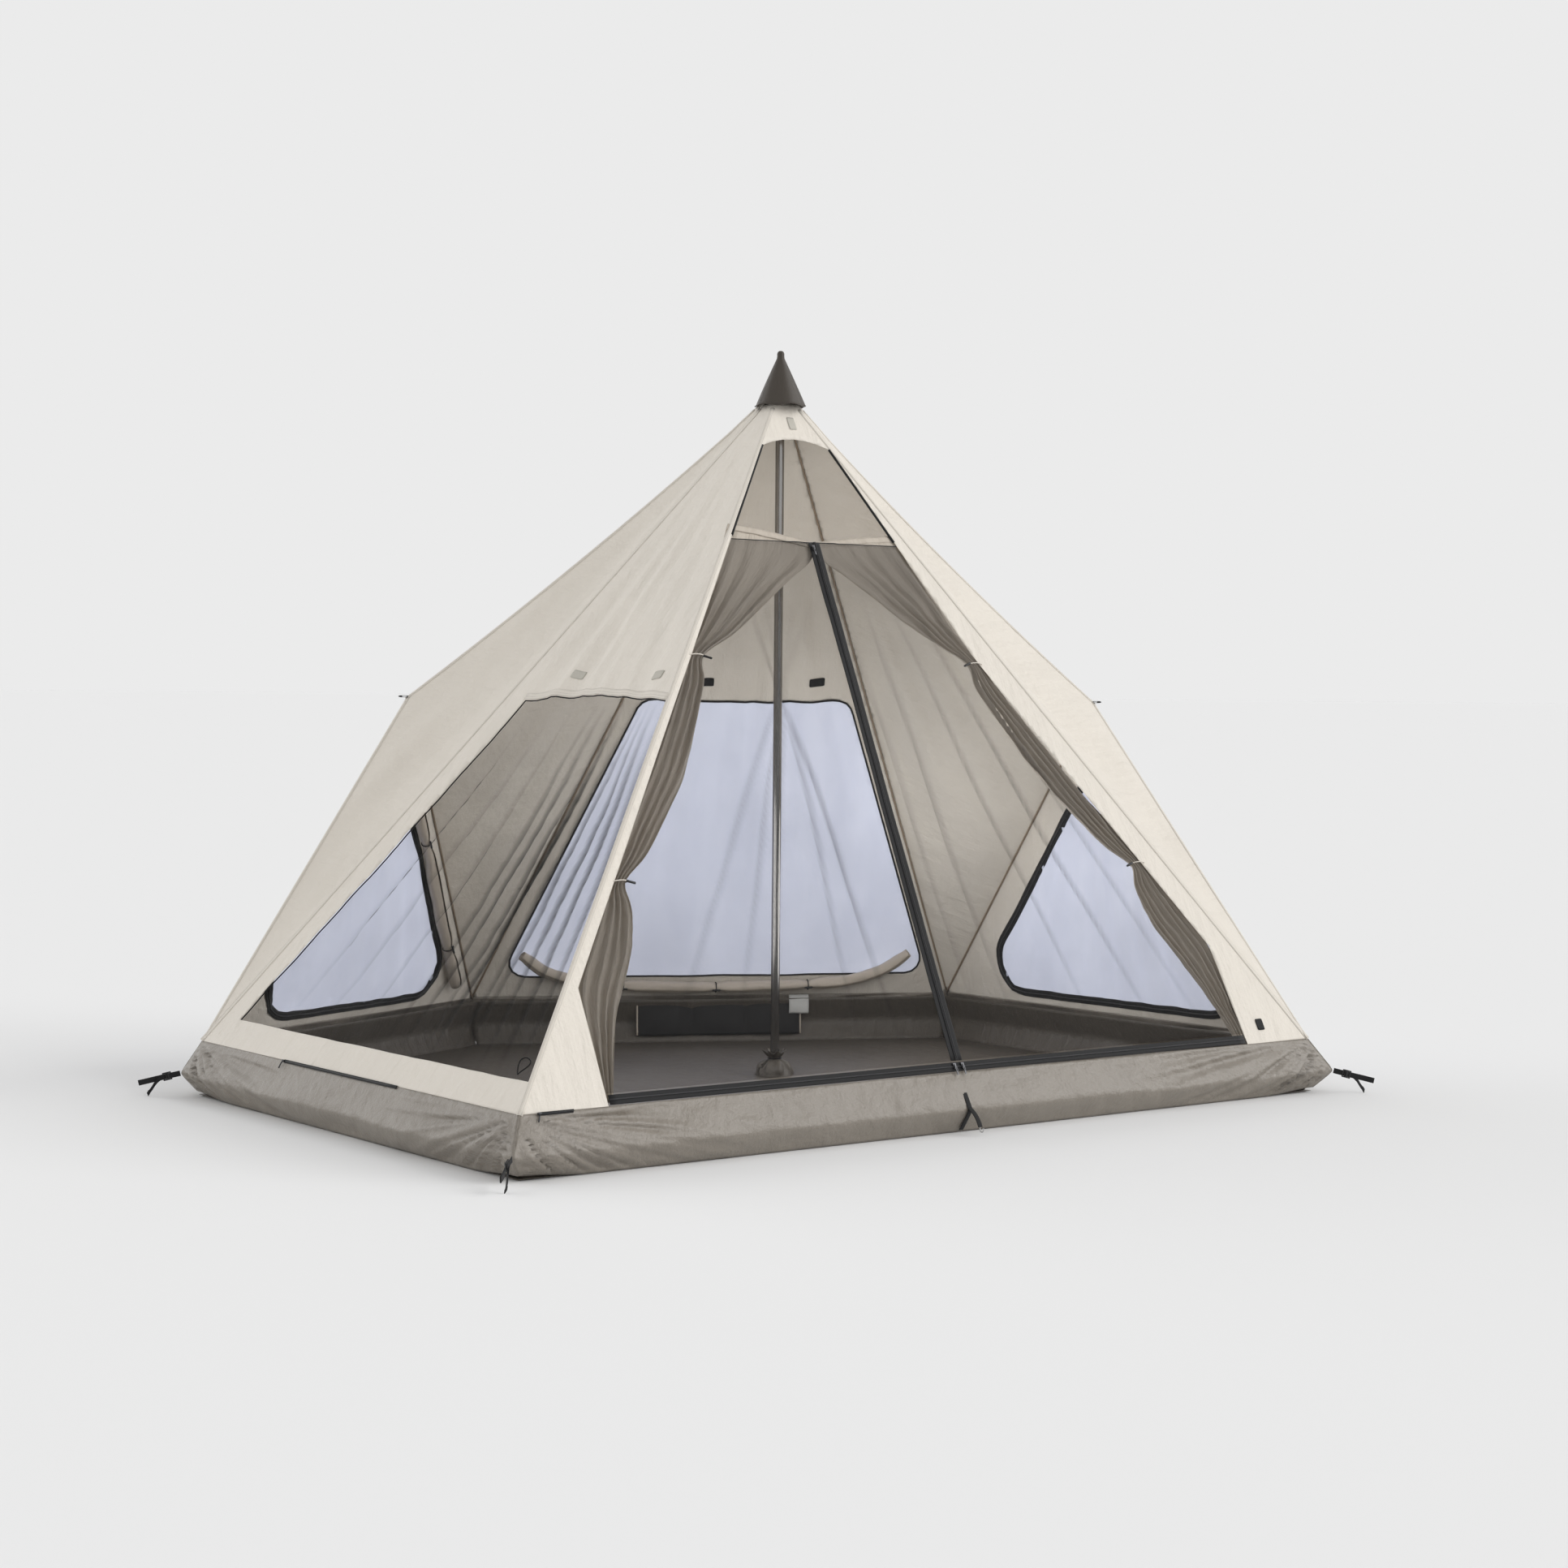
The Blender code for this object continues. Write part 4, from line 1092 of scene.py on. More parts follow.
def make_groundsheet():
    form = flat_copy("groundsheet")
    cut_grid(form, GROUND_STEP)
    mark_pattern(form)
    width, length, area = spread(form)
    edge = rings["foot"]
    for v in form.verts:
        away = min(abs((edge[i - 1] - edge[i]).normalized().cross(v.co - edge[i]).z)
                   for i in range(len(edge)))
        wave = noise.noise(v.co / 0.45) * 0.010
        wave += noise.fractal(v.co / 0.12, 0.9, 2.1, 2) * 0.003
        v.co.z = CLEAR + max(0.0, (wave + 0.004) * ease(away, 0.02, 0.3))
    piece = to_object("soft_groundsheet", form, floor_cloth)
    thicken(piece, 0.001)
    dress(piece, "tent", "floor_cloth", "groundsheet")
    declare_sheet(piece, width, length, area, "laid")


make_groundsheet()
print("sheets so far:", len(sheets))


# %% [markdown]
# ## Door curtains
# The cloth door is open: each half is gathered to its side and held by two toggles. A
# gathered curtain is a full-width sheet whose folds crowd together where a toggle pinches
# it, so its folds are waves across the cloth, and they run together because the sheet is
# narrow there.

# %% Curtains
TOGGLES = {"left": (1.622, 0.764), "right": (1.601, 0.752)}
FOLDS = {"left": 4.4, "right": 4.8}
PINCH = 0.42                         # how much a toggle narrows its curtain
PATTERN_WIDTH = {"left": 0.86, "right": 0.92}


def span_table(name, face, count=60):
    """Left and right edge of a flat CAD piece at many levels, smoothed."""
    line = rim(name, face)
    low, high = min(p.y for p in line), max(p.y for p in line)
    ring = closed(line)
    rows = []
    for i in range(count + 1):
        v = low + (high - low) * min(max(i / count, 0.002), 0.998)
        found = [a.x + (b.x - a.x) * (v - a.y) / (b.y - a.y)
                 for a, b in zip(ring, ring[1:]) if min(a.y, b.y) <= v < max(a.y, b.y)]
        rows.append((min(found), max(found)))
    for _ in range(3):
        rows = [rows[0]] + [tuple((rows[i - 1][k] + 2 * rows[i][k] + rows[i + 1][k]) / 4
                                  for k in (0, 1)) for i in range(1, count)] + [rows[-1]]
    return low, high, rows


def curtain(side):
    name = "curtain_" + side
    low, high, rows = span_table(name, door)
    outer, inner = (0, 1) if side == "left" else (1, 0)
    sag_out, sag_in = (-0.026, 0.040) if side == "left" else (-0.006, 0.040)

    def pinch(v):
        return max(math.exp(-((v - k) / 0.06) ** 2) for k in TOGGLES[side])

    def place(s, t):
        spot = t * (len(rows) - 1)
        i = min(int(spot), len(rows) - 2)
        edge = [rows[i][k] + (rows[i + 1][k] - rows[i][k]) * (spot - i) for k in (0, 1)]
        v = low + (high - low) * t
        squeeze = pinch(v)
        width = (edge[inner] - edge[outer]) * (1.0 - PINCH * squeeze)
        top = ease(t, 0.90, 1.0)
        v -= (sag_out + (sag_in - sag_out) * s ** 1.4) * top
        drift = noise.noise(Vector((t * 4.0, 2.0 + outer, 0.0))) * 0.5
        skew = noise.noise(Vector((s * 2.0, t * 2.5, 5.0 + outer))) * 0.6
        wave = math.sin(math.tau * (FOLDS[side] * s + drift + skew))
        full = 0.005 * (1.0 - ease(abs(width), 0.12, 0.55)) + 0.0035
        full *= (1.0 - 0.8 * ease(t, 0.93, 1.0)) * (1.0 - 0.35 * squeeze)
        small = noise.fractal(Vector((s * 5.0, t * 26.0, 1.0)), 0.9, 2.1, 3) * 0.005
        depth = 0.007 + full * (1.0 + wave) + small * (1.0 - top)
        return skin("front", edge[outer] + width * s, v, depth)

    pattern = (PATTERN_WIDTH[side], high - low)
    piece = grid_sheet("soft_" + name, 64, 130, place, pattern, taupe)
    thicken(piece, 0.0010)
    dress(piece, "tent", "taupe_cloth", name)
    form = bmesh.new()
    form.from_mesh(piece.data)
    area = sum(f.calc_area() for f in form.faces)
    form.free()
    declare_sheet(piece, area / (high - low) * 1.02, high - low, area, "gathered")

    length = path_length([place(i / 60, 0.99) for i in range(61)])

    def hem(s, t):
        near, far = place(s, 0.998), place(s, 0.990)
        pleat = noise.noise(Vector((s * length * 60.0, 0.3 * t, 1.0 + outer))) * 0.0016
        return near.lerp(far, t * 1.4) + door.normal * (0.0018 + pleat)

    lip = grid_sheet("hem_" + name, 90, 4, hem, (length, 0.018), taupe)
    thicken(lip, 0.0012)
    dress(lip, "tent", "taupe_cloth")
    lip_width = (hem(0.5, 0.0) - hem(0.5, 1.0)).length
    declare_sheet(lip, length, lip_width, length * lip_width, "stretched")
    return place, low, high, outer


def rod(name, matrix, length, radius, finish, slot, body="tent"):
    """A short bar with rounded ends."""
    form = bmesh.new()
    bmesh.ops.create_cone(form, cap_ends=True, segments=14, radius1=radius,
                          radius2=radius, depth=length)
    ends = [e for e in form.edges if abs(e.verts[0].co.z - e.verts[1].co.z) < 1e-6]
    bmesh.ops.bevel(form, geom=ends, offset=radius * 0.6, offset_type="OFFSET",
                    affect="EDGES", segments=3, profile=0.5, material=-1)
    form.transform(matrix)
    return dress(to_object(name, form, finish), body, slot)


def axes(place, x, z):
    """A frame at a place, from two of its directions."""
    x, z = x.normalized(), z.normalized()
    y = z.cross(x).normalized()
    return Matrix.Translation(place) @ Matrix((x, y, x.cross(y))).transposed().to_4x4()


def tie(name, centre, across, out, wide, deep):
    """An elastic loop round a gather, and the toggle that closes it."""
    ring = ring_line(centre, across * wide, out * deep, 20)
    tube(name + "_loop", ring, 0.0020, cream_hem, "cream_cloth")
    end = centre + across * (wide + 0.010) + out * 0.012
    down = Vector((0.25, 0.0, -1.0))
    rod(name + "_toggle", axes(end - Vector((0.0, 0.0, 0.006)), out, across + down * 0.4),
        0.036, 0.0042, plastic, "black_plastic")


for side in ("left", "right"):
    place, low, high, outer = curtain(side)
    for number, v in enumerate(TOGGLES[side]):
        t = (v - low) / (high - low)
        start, end = place(0.0, t), place(1.0, t)
        across = (end - start)
        tie("tie_curtain_%s_%d" % (side, number), start.lerp(end, 0.5),
            across.normalized(), door.normal, across.length / 2 + 0.004, 0.020)


# %% Door edge piping and zips
def door_edge(side):
    """The vent's edge, up from the curtains' hem to the hood's corner."""
    line = rim("panel_front", door)
    inside = [p for p in line if door.left(p.y) + 0.008 < p.x < door.right(p.y) - 0.008]
    hood = max(p.y for p in inside) - 0.08
    corner = (min if side == "left" else max)(
        (p for p in inside if p.y > hood), key=lambda p: p.x)
    inside = [p for p in inside if p.y < hood]
    reach = 0.35
    if side == "left":
        picked = [p for p in inside if p.x < door.left(p.y) + reach and p.x < door.tip.x]
    else:
        picked = [p for p in inside if p.x > door.right(p.y) - reach and p.x > door.tip.x]
    below = max(picked, key=lambda p: p.y)
    return [below.lerp(corner, (VENT_FOOT - below.y) / (corner.y - below.y)), corner]


VENT_FOOT = 2.13                     # the piping starts where the curtains' hem crosses it
for side in ("left", "right"):
    edge = door_edge(side)
    piping("binding_door_" + side, "front", edge, 0.0048, 0.0015, zip_tape, "zip_tape")
    print("door edge", side, [(round(p.x, 2), round(p.y, 2)) for p in edge])

for side in ("left", "right"):
    line = rim("mesh_door_" + side, door)
    head = max(p.y for p in line)
    head = sorted((p for p in line if p.y > head - 0.05), key=lambda p: p.x)
    piping("binding_net_" + side, "front", [head[0], head[-1]], 0.0018, 0.0, zip_tape,
           "zip_tape", "door_" + side)

for side, way in (("left", -1), ("right", 1)):
    outline = rim("zip_centre_" + side, door)
    ends = [p for p in outline if p.y < 0.2], [p for p in outline if p.y > 0.2]
    a, b = (sum(end, Vector((0.0, 0.0))) / len(end) for end in ends)
    tape = band("soft_zip_centre_" + side, "front", [a, b], 0.0225, -0.0022, zip_tape,
                "zip_tape", body="door_" + side, columns=6)
    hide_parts("zip_centre_" + side)
    run = (b - a).normalized()
    inner = Vector((run.y, -run.x)) * (-way * 0.0095)
    piping("coil_centre_" + side, "front", [a + inner, b + inner], 0.0022, -0.0045,
           zip_coil, "zip_metal", "door_" + side)

low_zip = rim("zip_bottom", door)
left_end = min(p.x for p in low_zip) + 0.004
right_end = max(p.x for p in low_zip) - 0.004
middle_v = (min(p.y for p in low_zip) + max(p.y for p in low_zip)) / 2
low_line = [Vector((left_end, middle_v)), Vector((right_end, middle_v))]
tape = band("soft_zip_bottom", "front", low_line, 0.033, 0.0, zip_tape, "zip_tape",
            columns=6)
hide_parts("zip_bottom")
piping("coil_bottom", "front", low_line, 0.0024, -0.002, zip_coil, "zip_metal")


# %% Sliders and pulls
def middle(name):
    low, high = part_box(name)
    return (low + high) / 2.0


def bevelled(form, width, segments=2):
    bmesh.ops.bevel(form, geom=form.edges[:], offset=width, offset_type="OFFSET",
                    affect="EDGES", segments=segments, profile=0.5, material=-1)


def slider(name, along):
    """A zip slider: a waisted body with a bridge over it, and a tab with an eye."""
    across = along.cross(door.normal).normalized()
    place = axes(middle("slider_" + name), across, door.normal)
    form = bmesh.new()
    bmesh.ops.create_cube(form, size=1.0)
    bmesh.ops.scale(form, vec=(0.014, 0.022, 0.0055), verts=form.verts)
    for v in form.verts:
        if v.co.y < 0.0:
            v.co.x *= 0.72
    bevelled(form, 0.0012)
    bridge = bmesh.ops.create_cube(form, size=1.0)["verts"]
    bmesh.ops.scale(form, vec=(0.004, 0.013, 0.0032), verts=bridge)
    bmesh.ops.translate(form, vec=(0.0, 0.0, 0.0036), verts=bridge)
    form.transform(place)
    dress(to_object("metal_slider_" + name, form, zip_metal, False), "slider_" + name,
          "zip_metal", "slider_" + name)
    tab = bmesh.new()
    for x in (-1, 1):
        bar = bmesh.ops.create_cube(tab, size=1.0)["verts"]
        bmesh.ops.scale(tab, vec=(0.0018, 0.030, 0.0018), verts=bar)
        bmesh.ops.translate(tab, vec=(x * 0.0026, 0.0, 0.0), verts=bar)
    for y, tall in ((0.0145, 0.002), (-0.010, 0.013)):
        bar = bmesh.ops.create_cube(tab, size=1.0)["verts"]
        bmesh.ops.scale(tab, vec=(0.0070, tall, 0.0018), verts=bar)
        bmesh.ops.translate(tab, vec=(0.0, y, 0.0), verts=bar)
    tab.transform(axes(middle("pull_" + name), across, door.normal))
    dress(to_object("metal_pull_" + name, tab, zip_metal, False), "pull_" + name,
          "zip_metal", "pull_" + name)


def joint_axis(name):
    return Vector(joints[name]["axis"]).normalized()


slider("top", -joint_axis("slider_top_travel"))
slider("bottom_left", door.v)
slider("bottom_right", door.v)


# %% [markdown]
# ## Cone, pole and boot
# The cone is turned cloth with five gores, so its round is not quite true. The pole is the
# CAD's own, in polished steel. The boot is a small bag tied round the pole's foot, so its
# cloth stands in folds above the floor.

# %% Turned cloth
def turned_cloth(name, profile, rounds, ripple, finish, slot, replaced, flat, held):
    """Spins a profile of (radius, z) about the pole, then moves each point by a ripple."""
    form = bmesh.new()
    verts = [form.verts.new((r, 0.0, z)) for r, z in profile]
    edges = [form.edges.new(pair) for pair in zip(verts, verts[1:])]
    bmesh.ops.spin(form, geom=verts + edges, axis=(0.0, 0.0, 1.0), cent=(0.0, 0.0, 0.0),
                   angle=math.tau, steps=rounds, use_merge=True)
    bmesh.ops.remove_doubles(form, verts=form.verts, dist=1e-5)
    bmesh.ops.recalc_face_normals(form, faces=form.faces)
    if sum(f.normal.dot(Vector((*f.calc_center_median().xy, 0.0))) for f in form.faces) < 0:
        bmesh.ops.reverse_faces(form, faces=form.faces)
    layer = form.loops.layers.uv.new("cloth")
    for face in form.faces:
        for loop in face.loops:
            p = loop.vert.co
            turn = math.atan2(p.y, p.x)
            loop[layer].uv = (turn * 0.06, p.z)
    for v in form.verts:
        radius, turn = v.co.xy.length, math.atan2(v.co.y, v.co.x)
        grown, lift = ripple(radius, turn, v.co.z)
        if radius > 1e-6:
            v.co.x, v.co.y = v.co.x * grown / radius, v.co.y * grown / radius
        v.co.z += lift
    area = sum(f.calc_area() for f in form.faces)
    piece = to_object(name, form, finish)
    thicken(piece, 0.001)
    dress(piece, "tent", slot, replaced)
    declare_sheet(piece, flat[0], flat[1], min(area, flat[0] * flat[1]), held)
    return piece


cone_low, cone_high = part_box("apex_cone")
cone_radius = cone_high.x
steps = 26
profile = []
for i in range(steps + 1):
    t = i / steps
    z = cone_low.z + (cone_high.z - 0.030 - cone_low.z) * t
    profile.append((cone_radius + (0.0155 - cone_radius) * t ** 1.06, z))
profile += [(0.0142, cone_high.z - 0.020), (0.0145, cone_high.z - 0.012),
            (0.0120, cone_high.z - 0.005), (0.0070, cone_high.z - 0.001), (0.0, cone_high.z)]


def cone_ripple(radius, turn, z):
    share = min(1.0, radius / cone_radius)
    gore = math.cos(5.0 * (turn + 0.4)) * 0.0022 * share
    crease = noise.noise(Vector((math.cos(turn) * 3.0, math.sin(turn) * 3.0, z * 5.0)))
    return radius + gore - 0.0022 * share + crease * 0.0025 * share, (
        0.004 * math.cos(5.0 * (turn + 0.4)) * share ** 4)


turned_cloth("soft_cone", profile, 60, cone_ripple, cone_cloth, "cone_cloth", "apex_cone",
             (0.42, 0.24), "stretched")
rings_hem = [Vector((math.cos(a) * (cone_radius - 0.001), math.sin(a) * (cone_radius - 0.001),
                     cone_low.z + 0.004 * math.cos(5.0 * (a + 0.4))))
             for a in (math.tau * i / 60 for i in range(61))]
tube("cone_hem", rings_hem, 0.0022, cone_cloth, "cone_cloth")

pole_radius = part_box("pole_section_1")[1].x
boot_tie = 0.070                     # height of the cord round the boot
boot_profile = [(pole_radius + 0.026, boot_tie + 0.026),
                (pole_radius + 0.015, boot_tie + 0.012),
                (pole_radius + 0.005, boot_tie), (pole_radius + 0.026, boot_tie - 0.012),
                (0.060, 0.042), (0.070, 0.026), (0.075, 0.012), (0.078, 0.0045)]


def boot_ripple(radius, turn, z):
    free = ease(z, 0.004, 0.05)
    drift = noise.noise(Vector((math.cos(turn), math.sin(turn), z * 9.0)))
    spread_out = math.sin(9.0 * turn + 2.0 * drift)
    lump = noise.noise(Vector((math.cos(turn) * 2.0, math.sin(turn) * 2.0, z * 20.0)))
    tied = 1.0 - 0.75 * math.exp(-((z - boot_tie) / 0.010) ** 2)
    grown = radius + (spread_out * 0.007 * free + lump * 0.010 * free) * tied
    frill = 0.006 * spread_out * ease(z, boot_tie + 0.006, boot_tie + 0.02)
    return max(grown, pole_radius + 0.002), frill


turned_cloth("soft_boot", [
    tuple(p) for p in smooth_line([Vector(p) for p in boot_profile], 4)], 72, boot_ripple,
    floor_cloth, "floor_cloth", "pole_boot", (0.50, 0.14), "gathered")
cord_radius = pole_radius + 0.0085
cord_ring = ring_line(Vector((0.0, 0.0, boot_tie)), Vector((cord_radius, 0.0, 0.0)),
                      Vector((0.0, cord_radius, 0.0)), 24)
tube("boot_tie", cord_ring, 0.0022, webbing, "black_plastic")

KEPT = {"hook_middle": hook_wire, "pole_cap": plastic}
KEPT.update({name: pole_steel for name in nodes if name.startswith("pole_section")})
for name, finish in KEPT.items():
    for piece_slot in nodes[name].material_slots:
        piece_slot.material = finish.material


# %% [markdown]
# ## Rolled window flaps
# Behind each film window hangs a cloth flap that has been rolled up and tied. A roll is a
# spiral of one sheet, so it is a grid whose one side winds round and whose other side
# follows the roll's line, which sags between its ties.

# %% Rolls
ROLL_DEPTH = 0.036                   # a roll's middle, inside the cloth


def roll(name, key, knots, turns, tight, loose, replaced, ties, phase):
    """A sheet wound from a tight to a loose radius along knots, and its ties."""
    face = faces[key]
    line = smooth_line([Vector(k) for k in knots], 10)
    length = path_length(line)
    winding = sum(math.tau * (tight + (loose - tight) * (i + 0.5) / 60) * turns / 60
                  for i in range(60))

    def place(s, t):
        at, run = along_path(line, t)
        side = Vector((-run.y, run.x))
        pinch = max([math.exp(-((t - k) * length / 0.035) ** 2) for k in ties] + [0.0])
        full = 1.0 - 0.30 * pinch
        end = 1.0 - 0.25 * (1.0 - ease(min(t, 1.0 - t), 0.0, 0.04))
        angle = phase + math.tau * turns * s
        radius = (tight + (loose - tight) * s) * full * end
        radius += noise.noise(Vector((math.cos(angle) * 1.2, math.sin(angle) * 1.2,
                                      t * length * 7.0))) * 0.0045 * s
        radius += noise.fractal(Vector((angle, t * length * 22.0, 3.0)), 0.9, 2.1, 2) * 0.0012
        flat = at + side * (math.cos(angle) * radius)
        return skin(key, flat.x, flat.y, ROLL_DEPTH + math.sin(angle) * radius)

    piece = grid_sheet(name, 72, round(length / 0.012), place, (winding, length), taupe)
    thicken(piece, 0.0009)
    dress(piece, "tent", "taupe_cloth", replaced)
    declare_sheet(piece, winding, length, winding * length, "folded")
    for number, t in enumerate(ties):
        at, run = along_path(line, t)
        centre = skin(key, at.x, at.y, ROLL_DEPTH)
        side = Vector((-run.y, run.x))
        up = skin(key, at.x + side.x * 0.01, at.y + side.y * 0.01, ROLL_DEPTH) - centre
        wide = loose * 0.78
        ring = ring_line(centre, up.normalized() * wide, face.normal * -wide, 20)
        tube("%s_loop_%d" % (name, number), ring, 0.0022, patch_black, "black_plastic")
        along = skin(key, at.x + run.x * 0.01, at.y + run.y * 0.01, ROLL_DEPTH) - centre
        rod("%s_toggle_%d" % (name, number),
            axes(centre - face.normal * (wide + 0.005), up, along), 0.034, 0.0042, plastic,
            "black_plastic")


back = faces["back"]
half = back.length / 2
roll("soft_roll_back", "back",
     [(0.20, 0.215), (0.30, 0.135), (0.46, 0.082), (0.72, 0.062), (half, 0.058),
      (back.length - 0.72, 0.064), (back.length - 0.46, 0.090), (back.length - 0.30, 0.140),
      (back.length - 0.20, 0.215)],
     3.2, 0.007, 0.028, "flap_roll_back", (0.27, 0.5, 0.73), 0.4)
for side in ("left", "right"):
    face = faces["wall_" + side]
    head = 0.86 if side == "left" else 0.84
    knots = [(face.left(v) + 0.135, v) for v in (0.08, 0.28, 0.50, 0.70, head)]
    roll("soft_roll_" + side, "wall_" + side, knots, 3.0, 0.007, 0.027, "flap_roll_" + side,
         (0.22, 0.80), 1.2)
print("sheets:", len(sheets))


# %% [markdown]
# ## Straps, tabs and hooks
# Each corner ends in a peg strap: webbing out of the skirt's seam, a ladder-lock buckle, and
# the long end beyond it, with a loose tail. Webbing is flat and stiff across and bends
# along, so it is a grid that follows a line. The middle of the door side has a strap down
# the skirt, with a wire hook for its peg.

# %% Webbing
def strip(name, points, across, width, finish, slot, body, replaced=(), thick=0.0016):
    """Webbing along solid points, flat across one direction."""
    line = smooth_line([Vector(p) for p in points], 5)
    length = path_length(line)

    def place(s, t):
        at, _ = along_path(line, t)
        return at + across * ((s - 0.5) * width)

    piece = grid_sheet(name, 3, max(6, round(length / 0.006)), place, (width, length),
                       finish)
    thicken(piece, thick, 0.0)
    edge = piece.modifiers.new("edge", "BEVEL")
    edge.width, edge.segments = thick * 0.3, 1
    return dress(piece, body, slot, *replaced)


def plate(name, matrix, outlines, thick, finish, slot, body, replaced=(), edge=0.0012):
    """A flat moulding with holes and softened edges."""
    curve = bpy.data.curves.new(name, "CURVE")
    curve.dimensions, curve.fill_mode, curve.extrude = "2D", "BOTH", thick / 2.0
    for points in outlines:
        add_line(curve, points, cyclic=True)
    form = curve_form(curve)
    form.transform(matrix)
    piece = to_object(name, form, finish, False)
    rim_cut = piece.modifiers.new("edge", "BEVEL")
    rim_cut.width, rim_cut.segments, rim_cut.limit_method = edge, 2, "ANGLE"
    return dress(piece, body, slot, *replaced)


def box_line(x, y, wide, tall):
    return [(x + i * wide / 2, y + j * tall / 2, 0.0)
            for i, j in ((-1, -1), (1, -1), (1, 1), (-1, 1))]


# %% Peg straps
def peg_strap(corner):
    joint = joints["strap_%s_swing" % corner]
    start = Vector(joint["pos_m"])
    across = Vector(joint["axis"]).normalized()
    along = (middle("strap_" + corner) - start).normalized()
    up = along.cross(across).normalized()
    if up.dot(middle("buckle_" + corner) - start) < 0.0:
        up.negate()
    body = "strap_" + corner
    wide = 0.020

    def at(x, z, drop=0.0):
        return start + along * x + up * z - Vector((0.0, 0.0, drop))

    strip("web_%s_short" % corner, [at(-0.004, 0.0), at(0.02, 0.0012), at(0.047, 0.003)],
          across, wide, webbing, "webbing", body, ("strap_" + corner,))
    strip("web_%s_long" % corner,
          [at(0.040, 0.007), at(0.056, 0.004), at(0.09, 0.001), at(0.12, -0.001),
           at(0.150, 0.000)], across, wide, webbing, "webbing", body)
    strip("web_%s_under" % corner, [at(0.150, 0.000), at(0.1515, -0.0015), at(0.149, -0.003),
                                   at(0.12, -0.0035), at(0.088, -0.0015)],
          across, wide, webbing, "webbing", body)
    strip("web_%s_tail" % corner,
          [at(0.052, -0.003, 0.0), at(0.072, -0.006, 0.004), at(0.088, -0.008, 0.016),
           at(0.100, -0.009, 0.032), at(0.112, -0.009, 0.044)],
          (across + up * 0.6).normalized(), wide * 0.75, webbing, "webbing", body)
    strip("web_%s_tip" % corner, [at(0.108, -0.009, 0.040), at(0.1155, -0.009, 0.0495)],
          (across + up * 0.6).normalized(), wide * 0.85, webbing, "webbing", body,
          thick=0.0040)
    frame_at = Matrix.Translation(middle("buckle_" + corner) - up * 0.002) @ Matrix(
        (across, along, across.cross(along))).transposed().to_4x4()
    plate("buckle_frame_" + corner, frame_at,
          [box_line(0.0, 0.0, 0.030, 0.032), box_line(0.0, 0.0085, 0.021, 0.0050),
           box_line(0.0, -0.0005, 0.021, 0.0050), box_line(0.0, -0.0095, 0.021, 0.0045)],
          0.0048, plastic, "black_plastic", body, ("buckle_" + corner,))
    rod("buckle_bar_" + corner, axes(at(0.045, 0.0095), up, across), 0.022, 0.0021,
        zip_metal, "zip_metal", body)


for corner in CORNERS:
    peg_strap(corner)


# %% Middle strap, guy tabs and short zips
def on_skirt(index, s, q, out=0.0):
    """A point of the skirt's outer side: share s along a side, q down its section."""
    after = (index + 1) % len(SIDES)
    low, high = rings["knuckle"][index], rings["knuckle"][after]
    along = (high - low).normalized()
    return skirt_corner(index, q).lerp(skirt_corner(after, q), s) + Vector(
        (along.y, -along.x, 0.0)) * out


hook_pos = Vector(joints["hook_middle_swing"]["pos_m"])
across = (top_ring[R] - top_ring[FL]).normalized()
share = (hook_pos.x - rings["knuckle"][FL].x) / (rings["knuckle"][R].x
                                                 - rings["knuckle"][FL].x)
strip("web_middle_down", [on_skirt(FL, share, q, 0.0065) for q in
                          (0.34, 0.45, 0.55, 0.64, 0.74, 0.85, 0.97)], across, 0.019,
      webbing, "webbing", "tent")
fold = on_skirt(FL, share, 0.60, 0.008)
strip("web_middle_out", [fold, fold.lerp(hook_pos, 0.35) + Vector((0.004, 0.0, 0.003)),
                         fold.lerp(hook_pos, 0.7) + Vector((0.004, 0.0, 0.003)), hook_pos],
      across, 0.019, webbing, "webbing", "tent", ("strap_middle",))
for side in ("left", "right"):
    centre = middle("guy_tab_" + side)
    face = faces["wall_" + side]
    away = Vector((face.normal.x, face.normal.y, 0.0)).normalized()
    crossing = Vector((0.0, 0.0, 1.0)).cross(away)
    root, end = centre - away * 0.022, centre + away * 0.017
    strip("web_guy_" + side, [root + Vector((0, 0, 0.0022)), centre + Vector((0, 0, 0.003)),
                              end + Vector((0, 0, 0.0015)), end - Vector((0, 0, 0.0015)),
                              centre - Vector((0, 0, 0.003)), root - Vector((0, 0, 0.0022))],
          crossing, 0.020, webbing, "webbing", "tent", ("guy_tab_" + side,))


def short_zip(name, index, start, end, q=0.012):
    """A short zip in the seam between the canopy and the skirt, with a hanging tab."""
    a, b = on_skirt(index, start, q, 0.0035), on_skirt(index, end, q, 0.0035)
    down = (on_skirt(index, start, 0.3) - on_skirt(index, start, 0.0)).normalized()
    line = [a.lerp(b, i / 12) for i in range(13)]
    strip(name + "_tape", line, down, 0.012, zip_tape, "zip_tape", "tent", thick=0.0014)
    out = (b - a).normalized().cross(down).normalized()
    out = out if out.dot(a) > 0.0 else -out
    tube(name + "_coil", [p + out * 0.0012 for p in line], 0.0016, zip_coil, "zip_metal")
    rod(name + "_slider", axes(a + out * 0.003, out, (b - a)), 0.015, 0.0040, zip_metal,
        "zip_metal")
    tube(name + "_tab", [a + out * 0.004, a + out * 0.007 + down * 0.012,
                         a + out * 0.006 + down * 0.030], 0.0024, zip_metal, "zip_metal")


short_zip("zip_short_front", FL, 0.020, 0.056)
short_zip("zip_short_left", L, 0.30, 0.66)


# %% [markdown]
# ## Small things sewn on
# Patches of touch tape above the windows, a blank black label, a care label inside, the
# pocket on the skirt's inner side at the back, and a loop of elastic by the awning's window.

